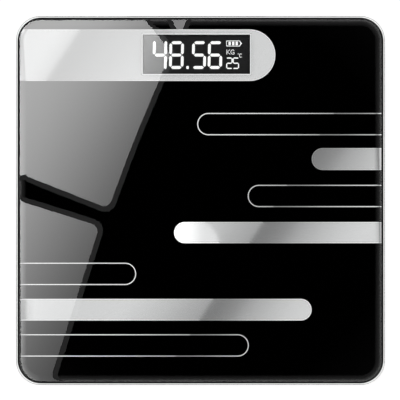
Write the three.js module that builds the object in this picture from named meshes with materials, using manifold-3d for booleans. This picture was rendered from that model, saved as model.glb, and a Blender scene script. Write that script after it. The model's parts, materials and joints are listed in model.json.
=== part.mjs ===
// A digital bathroom scale: a square tempered-glass platform on four load-cell feet, with a backlit
// display, its electronics and two AAA cells in a shallow case bonded behind the glass.
//
// Millimetres, +Z up. The origin is on the floor under the middle of the platform. The display end is
// towards +Y, so a user stands facing +Y and sees the figures upright.

import * as THREE from "three";
import { mergeVertices } from "three/addons/utils/BufferGeometryUtils.js";
import Module from "manifold-3d";

const wasm = await Module();
wasm.setup();

// ---------------------------------------------------------------- driving dimensions

const GAP = 0.05; // between bonded layers
const LOOSE = 0.1; // between parts that are dropped in or clamped

// platform
const SIDE = 280; // square platform
const CORNER = 18.5; // platform corner radius
const GLASS_T = 6;
const GLASS_Z = 17; // underside of the glass above the floor
const EDGE_RUN = 8; // width of the domed top edge
const EDGE_FALL = 2.4; // how far the domed edge falls
const ARRIS = 0.6; // ground arris on the lower edge
const PRINT_INSET = 2.1; // clear rim around the back print
const FILM_T = 0.2;
const FILM_TOP = GLASS_Z - GAP;
const FILM_BOTTOM = FILM_TOP - FILM_T;

// display window in the print, and the display module behind it
const WINDOW = { x: -2.8, y: 110.6, w: 80.6, h: 29.1 };
const TAPE_T = 0.6;
const TAPE_TOP = FILM_BOTTOM - GAP;
const MOUNT_Z = TAPE_TOP - TAPE_T - GAP; // top of everything that is taped to the print

// feet, measured from the foot's own axis
const FOOT_AT = 102; // foot axis from the platform's middle, along X and Y
const HOUSING = { r: 29, z: 5, bore: 26.6, lip: 23.2, lipT: 1.2, ceiling: 14, draft: 1.6 };
const SEAT_RIM = 3.5; // width of the ledge that the load cell bears against
const HOOK = { w: 6, gap: 0.3, arm: 1.5, reach: 0.8, t: 0.7 };
const LOAD_CELL = { side: 34, r: 2.5, z: 10, t: 2, tongue: 16, slot: 2.5, tip: -11, root: 9 };
const SEAL = { r: 3.5, h: 1.3, at: 7 };
const PAD = { r: 21.8, top: 3.15, ring: 9.2, dish: 0.8, edge: 1 };
const FOOT = { neck: 22.6, flange: 25.4, flangeZ: 7.2, t: 1.2, bowl: 20.6, floor: 4.8 };
const BOSS = { r: 4, top: 9.7 }; // in the middle of a foot, under the load cell

// ducts and leads
const DUCT_W = 9;
const DUCT_Z = 11.2;
const DUCT_WALL = 1.2;
const DUCT_TURN = 10; // bend radius of a duct's centreline
const DUCT_Y = 66; // where the long ducts cross to the case
const DUCT_END_GAP = 0.3; // between a duct and what it leads to
const LEAD = { w: 3.2, t: 1.1, start: 11.2, inset: 6.4, plane: 13, pad: 11.3 };
const LEAD_STOPS = [-80, -50, -20, 10, 40]; // along the straight run of a long lead
const LEAD_SLOT = 5.2; // in the housing, for the lead
const CASE_SLOT = { w: 6.4, z: 12.1 }; // in the case's side walls, for a lead and its slack

// case behind the display
const CASE = { x0: -59, x1: 53.4, y0: 58, y1: 132, z0: 2.9, z1: 14.8, r: 6, wall: 1.6, floor: 1.5, rim: 0.8 };
const CARRIER_Z = CASE.z1 + LOOSE;
const LCD = { w: 88, y0: 91.6, y1: 126.6, step: 3, t: 1.1 };
const APERTURE_GAP = 0.3;
const FRAME_WALL = 1.7;
const BOARD = { x0: -53, x1: 47.4, y0: 89.4, y1: 122.5, z: 8.8, t: 1.6 };
const SCREWS = [
  { name: "front_left", x: -44.5, y: 63 },
  { name: "front_right", x: 38.9, y: 63 },
  { name: "rear_left", x: -53.5, y: 127 },
  { name: "rear_right", x: 47.9, y: 127 },
];
const SCREW = { r: 1.25, hole: 1.5, headR: 2.4, headT: 0.95, length: 8, seat: 1.1, web: 0.9 };
const CROSS = { w: 2.6, t: 0.56 }; // recess in a screw's head
const SCREW_BOSS_R = 3.2; // round a screw, on the carrier and the case
const POSTS = { r: 1.8, x: [-46, 40.4], y: [93, 119] }; // under the board

// batteries
const CELL = { r: 5.25, body: 43.5, nubR: 1.9, nub: 1, z: 9.4 };
const BAY = { x0: -36, x1: 16.6, y0: 60.6, y1: 84.2, wall: 1.2 };
const CELL_Y = { front: 66.5, rear: 78.3 };
const CONTACT = { t: 0.4, z0: 5.4, z1: 13.4 };
const SPRING = { wire: 0.3, r: 2.6, tip: 1.9, turns: 4, length: 6.5 };
const DOOR = { t: 1.1, z: 2.95, r: 1, gap: 0.3, sink: 0.4 };
const TAB = { w: 6, at: 16, t: 0.8, z: 1.65, post: 1.2, reach: 2.1, slotH: 3 }; // along the door's hinge side
const ARM = { w: 6.6, t: 0.8, z: 2.9, at: 0.4 }; // sprung, on the door's front side
const GRIP = { rows: 5, w: 14, t: 0.8, pitch: 1.8, at: 2.2, depth: 0.35 }; // grooves for a finger

// unit button and its switch
const BUTTON = { x: 36, y: 104, r: 4, hole: 4.3, flange: 5.2 };
const SWITCH = { side: 6, z: 6.4, plungerR: 1.75, bore: 1.95 };

// facets
const ROUND = 24; // sides of the feet
const SMALL = 12; // sides of small round parts
const ARC = 4; // curve segments handed to three.js, which makes twice as many facets of each arc

// ---------------------------------------------------------------- shape helpers

/** A closed three.js geometry as a manifold-3d solid. */
function solidOf(geometry) {
  const bare = new THREE.BufferGeometry();
  bare.setAttribute("position", geometry.getAttribute("position"));
  if (geometry.index) bare.setIndex(geometry.index);
  const merged = mergeVertices(bare, 1e-4);
  return new wasm.Manifold(
    new wasm.Mesh({
      numProp: 3,
      vertProperties: new Float32Array(merged.attributes.position.array),
      triVerts: new Uint32Array(merged.index.array),
    }),
  );
}

/** A manifold-3d solid as a three.js geometry. */
function geometryOf(solid) {
  const mesh = solid.getMesh();
  const geometry = new THREE.BufferGeometry();
  geometry.setAttribute("position", new THREE.BufferAttribute(mesh.vertProperties, mesh.numProp));
  geometry.setIndex(new THREE.BufferAttribute(mesh.triVerts, 1));
  return geometry;
}

/** The first geometry with all the others joined to it. */
function join(first, ...others) {
  return geometryOf(others.reduce((made, g) => made.add(solidOf(g)), solidOf(first)));
}

/** The first geometry with all the others cut out of it. */
function cut(first, ...others) {
  return geometryOf(others.reduce((made, g) => made.subtract(solidOf(g)), solidOf(first)));
}

function block(x0, x1, y0, y1, z0, z1) {
  const made = new THREE.BoxGeometry(x1 - x0, y1 - y0, z1 - z0);
  return made.translate((x0 + x1) / 2, (y0 + y1) / 2, (z0 + z1) / 2);
}

function disc(r, z0, z1, x = 0, y = 0, sides = SMALL) {
  const made = new THREE.CylinderGeometry(r, r, z1 - z0, sides);
  return made.rotateX(Math.PI / 2).translate(x, y, (z0 + z1) / 2);
}

/** A turned part about Z. Its profile lists [radius, z] so that the outer wall runs upwards. */
function turned(profile, sides = SMALL) {
  const points = profile.map(([r, z]) => new THREE.Vector2(r, z));
  return new THREE.LatheGeometry(points, sides).rotateX(Math.PI / 2);
}

function roundedRect(x0, x1, y0, y1, r, path = new THREE.Shape()) {
  path.moveTo(x0 + r, y0);
  path.absarc(x1 - r, y0 + r, r, -Math.PI / 2, 0, false);
  path.absarc(x1 - r, y1 - r, r, 0, Math.PI / 2, false);
  path.absarc(x0 + r, y1 - r, r, Math.PI / 2, Math.PI, false);
  path.absarc(x0 + r, y0 + r, r, Math.PI, 1.5 * Math.PI, false);
  return path;
}

function roundedSquare(half, r) {
  return roundedRect(-half, half, -half, half, r);
}

function rectangle(x0, x1, y0, y1) {
  return new THREE.Shape([[x0, y0], [x1, y0], [x1, y1], [x0, y1]].map(([x, y]) => new THREE.Vector2(x, y)));
}

function prism(shape, z0, z1) {
  const options = { depth: z1 - z0, bevelEnabled: false, curveSegments: ARC };
  return new THREE.ExtrudeGeometry(shape, options).translate(0, 0, z0);
}

/** A prism whose ends are rounded: run is how far an end draws in, fall how deep the rounding is. */
function cushion(shapeAt, z0, z1, run, fall, steps) {
  const options = {
    depth: z1 - z0 - 2 * fall,
    bevelEnabled: true,
    bevelSize: run,
    bevelThickness: fall,
    bevelSegments: steps,
    curveSegments: ARC,
  };
  return new THREE.ExtrudeGeometry(shapeAt(run), options).translate(0, 0, z0 + fall);
}

// ---------------------------------------------------------------- materials

const material = (color, roughness, metalness = 0, opacity = 1) =>
  new THREE.MeshStandardMaterial({ color, roughness, metalness, opacity, transparent: opacity < 1 });

const glass = material(0xf2f7f6, 0.02, 0, 0.3);
const blackPrint = material(0x050505, 0.35);
const foamTape = material(0xd9d9d4, 0.9);
const blackPlastic = material(0x17181a, 0.45);
const greyRubber = material(0x3b3d40, 0.8);
const zincSteel = material(0xb9bcc0, 0.35, 1);
const silicone = material(0xf0efe8, 0.5);
const leadJacket = material(0xc8322b, 0.5);
const displayGlass = material(0x1a1b1e, 0.1);
const lightGuide = material(0xf6f7f4, 0.3);
const zebraRubber = material(0xb6a7a1, 0.6);
const boardGreen = material(0x1f5a34, 0.45);
const chipEpoxy = material(0x0b0b0c, 0.35);
const nickel = material(0xc9c6bd, 0.25, 1);
const cellJacket = material(0x3a4046, 0.35, 0.3);

// ---------------------------------------------------------------- assembly helpers

const scale = new THREE.Group();

function add(name, geometry, look, parent = scale) {
  const mesh = new THREE.Mesh(geometry, look);
  mesh.name = name;
  parent.add(mesh);
  return mesh;
}

// ---------------------------------------------------------------- platform

/** The toughened plate: a domed top edge that runs into the ground side wall, with a lower arris. */
function platformGlass() {
  const top = GLASS_Z + GLASS_T;
  const below = 4 * EDGE_FALL; // the lower rounding is cut away with everything under the glass
  const square = (run) => roundedSquare(SIDE / 2 - run, CORNER - run);
  const domed = cushion(square, GLASS_Z - below, top, EDGE_RUN, EDGE_FALL, 5);
  const ground = cushion(square, GLASS_Z, top + below, ARRIS, ARRIS, 2);
  return geometryOf(solidOf(domed).intersect(solidOf(ground)));
}

/** The screen-printed film on the back of the glass, with the clear display window. */
function printedFilm() {
  const sheet = roundedSquare(SIDE / 2 - PRINT_INSET, CORNER - PRINT_INSET);
  const { x, y, w, h } = WINDOW;
  sheet.holes.push(roundedRect(x - w / 2, x + w / 2, y - h / 2, y + h / 2, 0.6, new THREE.Path()));
  return prism(sheet, FILM_BOTTOM, FILM_TOP);
}

add("platform_glass", platformGlass(), glass);
add("printed_film", printedFilm(), blackPrint);

// ---------------------------------------------------------------- feet
// Each foot is made about its own axis, with its lead leaving towards +Y, and is then turned.

/** The cup that is taped to the glass, with the load cell's seat and three hooks, and a retaining lip. */
function footHousing() {
  const { r, z, bore, lip, lipT, ceiling, draft } = HOUSING;
  const cup = turned(
    [
      [0, ceiling],
      [bore, ceiling],
      [bore, z + lipT],
      [lip, z + lipT],
      [lip, z],
      [r - draft, z],
      [r - draft / 2, z + draft / 2],
      [r, MOUNT_Z],
      [0, MOUNT_Z],
    ],
    ROUND,
  );
  const half = LOAD_CELL.side / 2;
  const well = half - SEAT_RIM;
  const seatZ = LOAD_CELL.z + LOAD_CELL.t + LOOSE;
  const into = ceiling + 0.4; // seats and hooks run into the top plate
  const seat = cut(
    block(-half, half, -half, half, seatZ, into),
    block(-well, well, -well, well, seatZ - 1, into + 1),
  );
  const slotZ = [ceiling - 1.7, ceiling - 0.1];
  const slots = [
    block(-LEAD_SLOT / 2, LEAD_SLOT / 2, well - 1, half + 1, ...slotZ),
    block(-LEAD_SLOT / 2, LEAD_SLOT / 2, bore - 2, r + 1, ...slotZ),
  ];
  const hooks = [0, -Math.PI / 2, Math.PI].map((turn) => cellHook(half, into).rotateZ(turn));
  return cut(join(cup, seat, ...hooks), ...slots);
}

/** An L-shaped hook on the +X side that catches the load cell's lower edge. */
function cellHook(half, into) {
  const { w, gap, arm, reach, t } = HOOK;
  const bottom = LOAD_CELL.z - LOOSE - t;
  return join(
    block(half + gap, half + gap + arm, -w / 2, w / 2, bottom, into),
    block(half - reach, half + gap + arm / 2, -w / 2, w / 2, bottom, bottom + t),
  );
}

/** Half-bridge load cell: a steel plate with a tongue that the foot presses and that bends. */
function loadCell() {
  const { side, r, z, t, tongue, slot, tip, root } = LOAD_CELL;
  const plate = prism(roundedSquare(side / 2, r), z, z + t);
  const through = [z - 1, z + t + 1];
  const half = tongue / 2;
  return cut(
    plate,
    block(-half - slot, -half, tip, root, ...through),
    block(half, half + slot, tip, root, ...through),
    block(-half - slot, half + slot, tip, tip + slot, ...through),
  );
}

/** The silicone that seals the strain gauges at the tongue's root. */
function gaugeSeal() {
  const { r, h, at } = SEAL;
  const z = LOAD_CELL.z + LOAD_CELL.t + GAP;
  const dome = turned([[0, z], [r, z], [r - 0.3, z + h / 2], [r - 1.5, z + h - 0.2], [0, z + h]]);
  return dome.scale(1.3, 1, 1).translate(0, at, 0);
}

/** The plastic foot: a flanged bowl with ribs and the boss that presses the load cell's tongue. */
function footPlate() {
  const { neck, flange, flangeZ, t, bowl, floor } = FOOT;
  const bottom = PAD.top + GAP;
  const body = turned(
    [
      [0, bottom],
      [neck - 0.4, bottom],
      [neck, bottom + 0.3],
      [neck, flangeZ],
      [flange, flangeZ],
      [flange, flangeZ + t],
      [bowl, flangeZ + t],
      [bowl, floor],
      [BOSS.r + 2, floor],
      [BOSS.r + 1.4, flangeZ + t],
      [BOSS.r, BOSS.top],
      [0, BOSS.top],
    ],
    ROUND,
  );
  const reach = bowl + 0.2; // ribs run into the bowl's wall and floor
  const rib = (turn) => block(-reach, reach, -t / 2, t / 2, floor - 0.2, flangeZ + t / 2).rotateZ(turn);
  return join(body, rib(Math.PI / 4), rib(-Math.PI / 4));
}

/** The rubber pad, dished in the middle so that it stands on a ring. */
function rubberPad() {
  const { r, top, ring, dish, edge } = PAD;
  return turned(
    [
      [0, dish],
      [ring - dish, dish],
      [ring, 0],
      [r - edge, 0],
      [r, edge],
      [r, top],
      [0, top],
    ],
    ROUND,
  );
}

const FEET = [
  { name: "front_left", x: -FOOT_AT, y: -FOOT_AT, turn: 0 },
  { name: "front_right", x: FOOT_AT, y: -FOOT_AT, turn: 0 },
  { name: "rear_left", x: -FOOT_AT, y: FOOT_AT, turn: -Math.PI / 2 },
  { name: "rear_right", x: FOOT_AT, y: FOOT_AT, turn: Math.PI / 2 },
];

for (const { name, x, y, turn } of FEET) {
  const foot = new THREE.Group();
  foot.position.set(x, y, 0);
  foot.rotation.z = turn;
  scale.add(foot);
  add(`foot_housing_${name}`, footHousing(), blackPlastic, foot);
  add(`housing_tape_${name}`, disc(HOUSING.r - 1, MOUNT_Z + GAP, TAPE_TOP, 0, 0, ROUND), foamTape, foot);
  add(`load_cell_${name}`, loadCell(), zincSteel, foot);
  add(`gauge_seal_${name}`, gaugeSeal(), silicone, foot);
  add(`foot_plate_${name}`, footPlate(), blackPlastic, foot);
  add(`rubber_pad_${name}`, rubberPad(), greyRubber, foot);
}

// ---------------------------------------------------------------- ducts and leads

/** The outline of a strip of this width that runs from the foot towards +Y and turns to the case. */
function bentStrip(x, yFoot, xCase, width) {
  const side = Math.sign(x);
  const w = width / 2;
  const turnX = x - side * DUCT_TURN;
  const turnY = DUCT_Y - DUCT_TURN;
  const clockwise = side < 0;
  const [from, to] = side < 0 ? [Math.PI, Math.PI / 2] : [0, Math.PI / 2];
  const strip = new THREE.Shape();
  strip.moveTo(x + side * w, yFoot);
  strip.lineTo(x + side * w, turnY);
  strip.absarc(turnX, turnY, DUCT_TURN + w, from, to, clockwise);
  strip.lineTo(xCase, DUCT_Y + w);
  strip.lineTo(xCase, DUCT_Y - w);
  strip.absarc(turnX, turnY, DUCT_TURN - w, to, from, !clockwise);
  strip.lineTo(x - side * w, yFoot);
  return strip;
}

function straightStrip(x0, x1, y, width) {
  return rectangle(Math.min(x0, x1), Math.max(x0, x1), y - width / 2, y + width / 2);
}

/** A channel that is open towards the glass, from the foot's round wall to the case. */
function duct(stripOf, foot) {
  const outer = prism(stripOf(DUCT_W), DUCT_Z, TAPE_TOP);
  const inner = prism(stripOf(DUCT_W - 2 * DUCT_WALL), DUCT_Z + DUCT_WALL, TAPE_TOP + 1);
  const roundWall = disc(HOUSING.r + DUCT_END_GAP, DUCT_Z - 1, TAPE_TOP + 2, foot.x, foot.y, 2 * ROUND);
  return cut(outer, inner, roundWall);
}

/** A flat three-core lead along these points. */
function lead(points, steps) {
  const { w, t } = LEAD;
  const path = new THREE.CatmullRomCurve3(points.map((p) => new THREE.Vector3(...p)), false, "centripetal");
  const section = rectangle(-t / 2, t / 2, -w / 2, w / 2);
  return new THREE.ExtrudeGeometry(section, { steps, extrudePath: path });
}

/** From a front foot along the long duct, round its bend and over the solder pads at the board's edge. */
function longRoute({ x, y }, wall) {
  const side = Math.sign(x);
  const inside = wall - side * LEAD.inset;
  const turn = { x: x - side * DUCT_TURN, y: DUCT_Y - DUCT_TURN };
  const straight = [y + LEAD.start, ...LEAD_STOPS, turn.y].map((at) => [x, at, LEAD.plane]);
  const bend = [30, 60, 90].map(THREE.MathUtils.degToRad).map((a) => [
    turn.x + side * DUCT_TURN * Math.cos(a),
    turn.y + DUCT_TURN * Math.sin(a),
    LEAD.plane,
  ]);
  return [
    ...straight,
    ...bend,
    [wall + side * 2 * CASE.wall, DUCT_Y, LEAD.plane],
    [wall - side * 1.6 * CASE.wall, DUCT_Y + 0.6, LEAD.plane],
    [inside, DUCT_Y + LEAD.w + CASE.wall, LEAD.plane],
    [inside, DUCT_Y + 5 * LEAD.w, LEAD.plane],
    [inside, BOARD.y0 + 0.6, LEAD.pad + LEAD.t],
    [inside, BOARD.y0 + 5.6, LEAD.pad],
  ];
}

/** From a rear foot straight into the case. */
function shortRoute({ x, y }, wall) {
  const side = Math.sign(x);
  return [
    [x - side * LEAD.start, y, LEAD.plane],
    [x - side * HOUSING.r, y, LEAD.plane],
    [wall + side * 2 * CASE.wall, y, LEAD.plane],
    [wall - side * CASE.wall, y, LEAD.plane],
    [wall - side * LEAD.inset, y, LEAD.pad],
  ];
}

for (const foot of FEET) {
  const side = Math.sign(foot.x);
  const wall = side < 0 ? CASE.x0 : CASE.x1;
  const end = wall + side * DUCT_END_GAP;
  const long = foot.y < 0;
  const under = HOUSING.r - 9; // starts inside the housing, whose wall then shapes the duct's end
  const strip = long
    ? (width) => bentStrip(foot.x, foot.y + under, end, width)
    : (width) => straightStrip(foot.x - side * under, end, foot.y, width);
  add(`wire_duct_${foot.name}`, duct(strip, foot), blackPlastic);
  const wires = long ? lead(longRoute(foot, wall), 60) : lead(shortRoute(foot, wall), 12);
  add(`cell_lead_${foot.name}`, wires, leadJacket);
}

// ---------------------------------------------------------------- display module

const lcdX0 = WINDOW.x - LCD.w / 2;
const lcdX1 = WINDOW.x + LCD.w / 2;

function aperture(z0, z1, grow = 0) {
  const g = APERTURE_GAP + grow;
  return block(lcdX0 - g, lcdX1 + g, LCD.y0 - g, LCD.y1 + g, z0, z1);
}

/** The frame that is taped to the print: it surrounds the display and carries the screw bosses. */
function displayCarrier() {
  const { x0, x1, y0, y1, r } = CASE;
  const plate = prism(roundedRect(x0, x1, y0, y1, r), CARRIER_Z, MOUNT_Z);
  const frame = aperture(BOARD.z + BOARD.t + LOOSE, CARRIER_Z + 0.2, FRAME_WALL);
  const seat = CASE.z0 + SCREW.seat + SCREW.web;
  const bosses = SCREWS.map(({ x, y }) => disc(SCREW_BOSS_R, seat + LOOSE, CARRIER_Z + 0.2, x, y));
  const pilots = SCREWS.map(({ x, y }) => disc(SCREW.r + LOOSE, 0, CARRIER_Z - 1.5, x, y));
  return cut(join(plate, frame, ...bosses), aperture(0, MOUNT_Z + 1), ...pilots);
}

/** The foam gasket that bonds the carrier to the print. */
function carrierTape() {
  const { x0, x1, y0, y1, r } = CASE;
  const sheet = roundedRect(x0 + 1, x1 - 1, y0 + 1, y1 - 1, r - 1);
  return cut(prism(sheet, MOUNT_Z + GAP, TAPE_TOP), aperture(0, TAPE_TOP + 1, 0.5));
}

const lcdTop = FILM_BOTTOM - LOOSE;
const rearTop = lcdTop - LCD.t - GAP;
const guideTop = rearTop - LCD.t - LOOSE;
const boardTop = BOARD.z + BOARD.t;

add("display_carrier", displayCarrier(), blackPlastic);
add("carrier_tape", carrierTape(), foamTape);
add("lcd_front_glass", block(lcdX0, lcdX1, LCD.y0, LCD.y1, lcdTop - LCD.t, lcdTop), displayGlass);
add("lcd_rear_glass", block(lcdX0, lcdX1, LCD.y0 + LCD.step, LCD.y1, rearTop - LCD.t, rearTop), displayGlass);
add(
  "backlight_panel",
  block(lcdX0 + 1, lcdX1 - 1, LCD.y0 + LCD.step + 0.2, LCD.y1 - 0.4, boardTop + 0.5, guideTop),
  lightGuide,
);
add(
  "zebra_connector",
  block(lcdX0 + 4, lcdX1 - 4, LCD.y0 + 0.3, LCD.y0 + 2.5, boardTop + GAP, lcdTop - LCD.t - GAP),
  zebraRubber,
);
add(
  "main_board",
  prism(roundedRect(BOARD.x0, BOARD.x1, BOARD.y0, BOARD.y1, 1), BOARD.z, boardTop),
  boardGreen,
);

// The controller sits under a blob of epoxy, and the thermistor for the room temperature hangs at the edge.
const chip = turned([[0, 7.3], [4, 7.5], [6.2, 8.2], [6.8, BOARD.z - GAP], [0, BOARD.z - GAP]]);
add("controller_chip", chip, chipEpoxy).position.set(-12, 106, 0);
const bead = new THREE.SphereGeometry(1.3, 10, 8).translate(0, 0, BOARD.z - 1.4);
add("thermistor", bead, chipEpoxy).position.set(-46, 116, 0);

/** The square body of the tact switch, bored for its plunger. */
function switchBody() {
  const half = SWITCH.side / 2;
  return cut(
    block(-half, half, -half, half, SWITCH.z, BOARD.z - GAP),
    disc(SWITCH.bore, SWITCH.z - 1, BOARD.z - 0.6),
  );
}

/** The button's cap stands in the case floor, and its flange keeps it in. */
function unitButton() {
  const floorTop = CASE.z0 + CASE.floor;
  return turned([
    [0, CASE.z0 + 0.2],
    [BUTTON.r - 0.5, CASE.z0 + 0.2],
    [BUTTON.r, CASE.z0 + 0.6],
    [BUTTON.r, floorTop + 0.2],
    [BUTTON.flange, floorTop + 0.2],
    [BUTTON.flange, floorTop + 0.8],
    [1.5, floorTop + 0.8],
    [1.5, SWITCH.z - 0.75],
    [0, SWITCH.z - 0.75],
  ]);
}

const press = new THREE.Group();
press.position.set(BUTTON.x, BUTTON.y, 0);
scale.add(press);
add("unit_switch_body", switchBody(), chipEpoxy, press);
add("unit_switch_plunger", disc(SWITCH.plungerR, SWITCH.z - 0.7, SWITCH.z + 0.8), chipEpoxy, press);
add("unit_button", unitButton(), blackPlastic, press);

// ---------------------------------------------------------------- rear case

/** The screwed-on cover, with the battery bay, posts under the board and slots for the leads. */
function rearCase() {
  const { x0, x1, y0, y1, z0, z1, r, wall, floor, rim } = CASE;
  const inset = (run) => roundedRect(x0 + run, x1 - run, y0 + run, y1 - run, r - run);
  const shell = cushion(inset, z0, z1 + 2, rim, rim, 2);
  const lid = block(x0 - 1, x1 + 1, y0 - 1, y1 + 1, z1, z1 + 4);
  const tray = cut(shell, prism(inset(wall), z0 + floor, z1 + 3), lid);

  const b = BAY;
  const root = z0 + floor / 2; // whatever stands on the floor runs into it this far
  const seat = z0 + SCREW.seat;
  const bayWalls = block(b.x0 - b.wall, b.x1 + b.wall, y0 + wall / 2, b.y1 + b.wall, root, z1 - LOOSE);
  const posts = POSTS.x.flatMap((x) => POSTS.y.map((y) => disc(POSTS.r, root, BOARD.z - LOOSE, x, y)));
  const headSeats = SCREWS.map(({ x, y }) => disc(SCREW_BOSS_R, root, seat + SCREW.web, x, y));

  const bay = block(b.x0, b.x1, b.y0, b.y1, z0 - 1, z1 + 1);
  const heads = SCREWS.map(({ x, y }) => disc(SCREW.headR + 2 * LOOSE, z0 - 1, seat, x, y));
  const holes = SCREWS.map(({ x, y }) => disc(SCREW.hole, z0 - 1, z0 + 2 * floor, x, y));
  const buttonHole = disc(BUTTON.hole, z0 - 1, z0 + 2 * floor, BUTTON.x, BUTTON.y, 20);
  const through = 1.5 * wall;
  const half = CASE_SLOT.w / 2;
  const leadSlots = [x0, x1].flatMap((x) =>
    [DUCT_Y, FOOT_AT].map((y) => block(x - through, x + through, y - half, y + half, CASE_SLOT.z, z1 + 1)),
  );
  const play = TAB.w / 2 + DOOR.gap;
  const tabSlots = doorTabs().map((x) =>
    block(x - play, x + play, b.y1 - b.wall / 2, b.y1 + 2 * b.wall, z0 + floor, z0 + floor + TAB.slotH),
  );
  const cuts = [bay, ...heads, ...holes, buttonHole, ...leadSlots, ...tabSlots];
  return cut(join(tray, bayWalls, ...posts, ...headSeats), ...cuts);
}

/** Where the two tabs of the battery door sit along X. */
function doorTabs() {
  const middle = (BAY.x0 + BAY.x1) / 2;
  return [middle - TAB.at, middle + TAB.at];
}

/** The battery door: two tabs hook behind the case floor, and a sprung arm holds the other side. */
function batteryDoor() {
  const { x0, x1, y0, y1 } = BAY;
  const { t, z, r, gap, sink } = DOOR;
  const root = z + t - sink;
  const hinge = y1 - gap;
  const middle = (x0 + x1) / 2;
  const panel = prism(roundedRect(x0 + gap, x1 - gap, y0 + gap, hinge, r), z, z + t);
  const tabs = doorTabs().map((x) => {
    const [from, to, low, high] = [x - TAB.w / 2, x + TAB.w / 2, z + TAB.z, z + TAB.z + TAB.t];
    return join(
      block(from, to, hinge - TAB.post, hinge, root, high),
      block(from, to, hinge - sink, hinge + TAB.reach, low, high),
    );
  });
  const front = y0 + ARM.at;
  const arm = block(middle - ARM.w / 2, middle + ARM.w / 2, front, front + ARM.t, root, z + ARM.z);
  const grooves = Array.from({ length: GRIP.rows }, (_, n) => {
    const [half, low] = [GRIP.w / 2 - n, y0 + GRIP.at + GRIP.pitch * n];
    return block(middle - half, middle + half, low, low + GRIP.t, z - 1, z + GRIP.depth);
  });
  return cut(join(panel, ...tabs, arm), ...grooves);
}

/** A self-tapping screw, head down, with a cross recess. */
function caseScrew() {
  const { r, headR, headT, length } = SCREW;
  const head = CASE.z0 + LOOSE;
  const seat = head + headT;
  const screw = turned([
    [0, head],
    [headR - headT / 2, head],
    [headR, seat - headT / 2],
    [headR, seat],
    [r, seat],
    [r, head + length - 1],
    [0, head + length],
  ]);
  const { w, t } = CROSS;
  const arm = (turn) => block(-w / 2, w / 2, -t / 2, t / 2, head - 1, head + t).rotateZ(turn);
  return cut(screw, arm(Math.PI / 4), arm(-Math.PI / 4));
}

add("rear_case", rearCase(), blackPlastic);
add("battery_door", batteryDoor(), blackPlastic);
for (const { name, x, y } of SCREWS) {
  add(`case_screw_${name}`, caseScrew(), zincSteel).position.set(x, y, 0);
}

// ---------------------------------------------------------------- batteries and contacts

/** An AAA cell along +X from the origin, with its positive nub at the far end. */
function cell() {
  const { r, body, nub, nubR } = CELL;
  const profile = [[0, 0], [r - 0.4, 0], [r, 0.4], [r, body - 0.6], [r - 0.6, body], [nubR, body]];
  return turned([...profile, [nubR, body + nub], [0, body + nub]], 16).rotateY(Math.PI / 2);
}

/** A helix about +X from the plate at x 0 to its narrow end, with round wire. */
class ConeSpring extends THREE.Curve {
  getPoint(t, target = new THREE.Vector3()) {
    const a = 2 * Math.PI * SPRING.turns * t;
    const r = THREE.MathUtils.lerp(SPRING.r, SPRING.tip, t);
    return target.set(SPRING.wire + t * (SPRING.length - 2 * SPRING.wire), r * Math.cos(a), r * Math.sin(a));
  }
}

function contactSpring() {
  const section = new THREE.Shape().absarc(0, 0, SPRING.wire, 0, 2 * Math.PI, false);
  const steps = 10 * SPRING.turns;
  return new THREE.ExtrudeGeometry(section, { steps, extrudePath: new ConeSpring(), curveSegments: 2.5 });
}

const { t: leaf, z0: leafZ0, z1: leafZ1 } = CONTACT;
const leftLeaf = BAY.x0 + LOOSE;
const rightLeaf = BAY.x1 - LOOSE - leaf;
const leafBlock = (x, y0, y1) => block(x, x + leaf, y0, y1, leafZ0, leafZ1);
add("contact_bridge", leafBlock(leftLeaf, CELL_Y.front - 4.6, CELL_Y.rear + 4.6), nickel);
add("contact_positive", leafBlock(rightLeaf, CELL_Y.front - 4.6, CELL_Y.front + 4.6), nickel);
add("contact_negative", leafBlock(rightLeaf, CELL_Y.rear - 4.6, CELL_Y.rear + 4.6), nickel);

const frontCell = add("battery_front", cell(), cellJacket);
frontCell.position.set(rightLeaf - 0.2 - CELL.nub - CELL.body, CELL_Y.front, CELL.z);
const rearCell = add("battery_rear", cell(), cellJacket);
rearCell.rotation.z = Math.PI;
rearCell.position.set(leftLeaf + leaf + 0.2 + CELL.nub + CELL.body, CELL_Y.rear, CELL.z);
const frontSpring = add("battery_spring_front", contactSpring(), nickel);
frontSpring.position.set(leftLeaf + leaf + GAP, CELL_Y.front, CELL.z);
const rearSpring = add("battery_spring_rear", contactSpring(), nickel);
rearSpring.rotation.z = Math.PI;
rearSpring.position.set(rightLeaf - GAP, CELL_Y.rear, CELL.z);

export default scale;
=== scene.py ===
"""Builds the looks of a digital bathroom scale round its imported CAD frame.

The frame has +Z up, its origin on the floor under the middle of the platform, and the display end
towards +Y. Sizes in the classes are in millimetres, and Blender objects are in metres.
"""

import json
import logging
import math
from collections.abc import Iterable, Sequence
from dataclasses import dataclass, field
from enum import Enum
from functools import partial, reduce

import bmesh
import bpy
from bpy.types import Material, Node, NodeSocket, NodeTree, Object
from mathutils import Matrix, Vector

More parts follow.
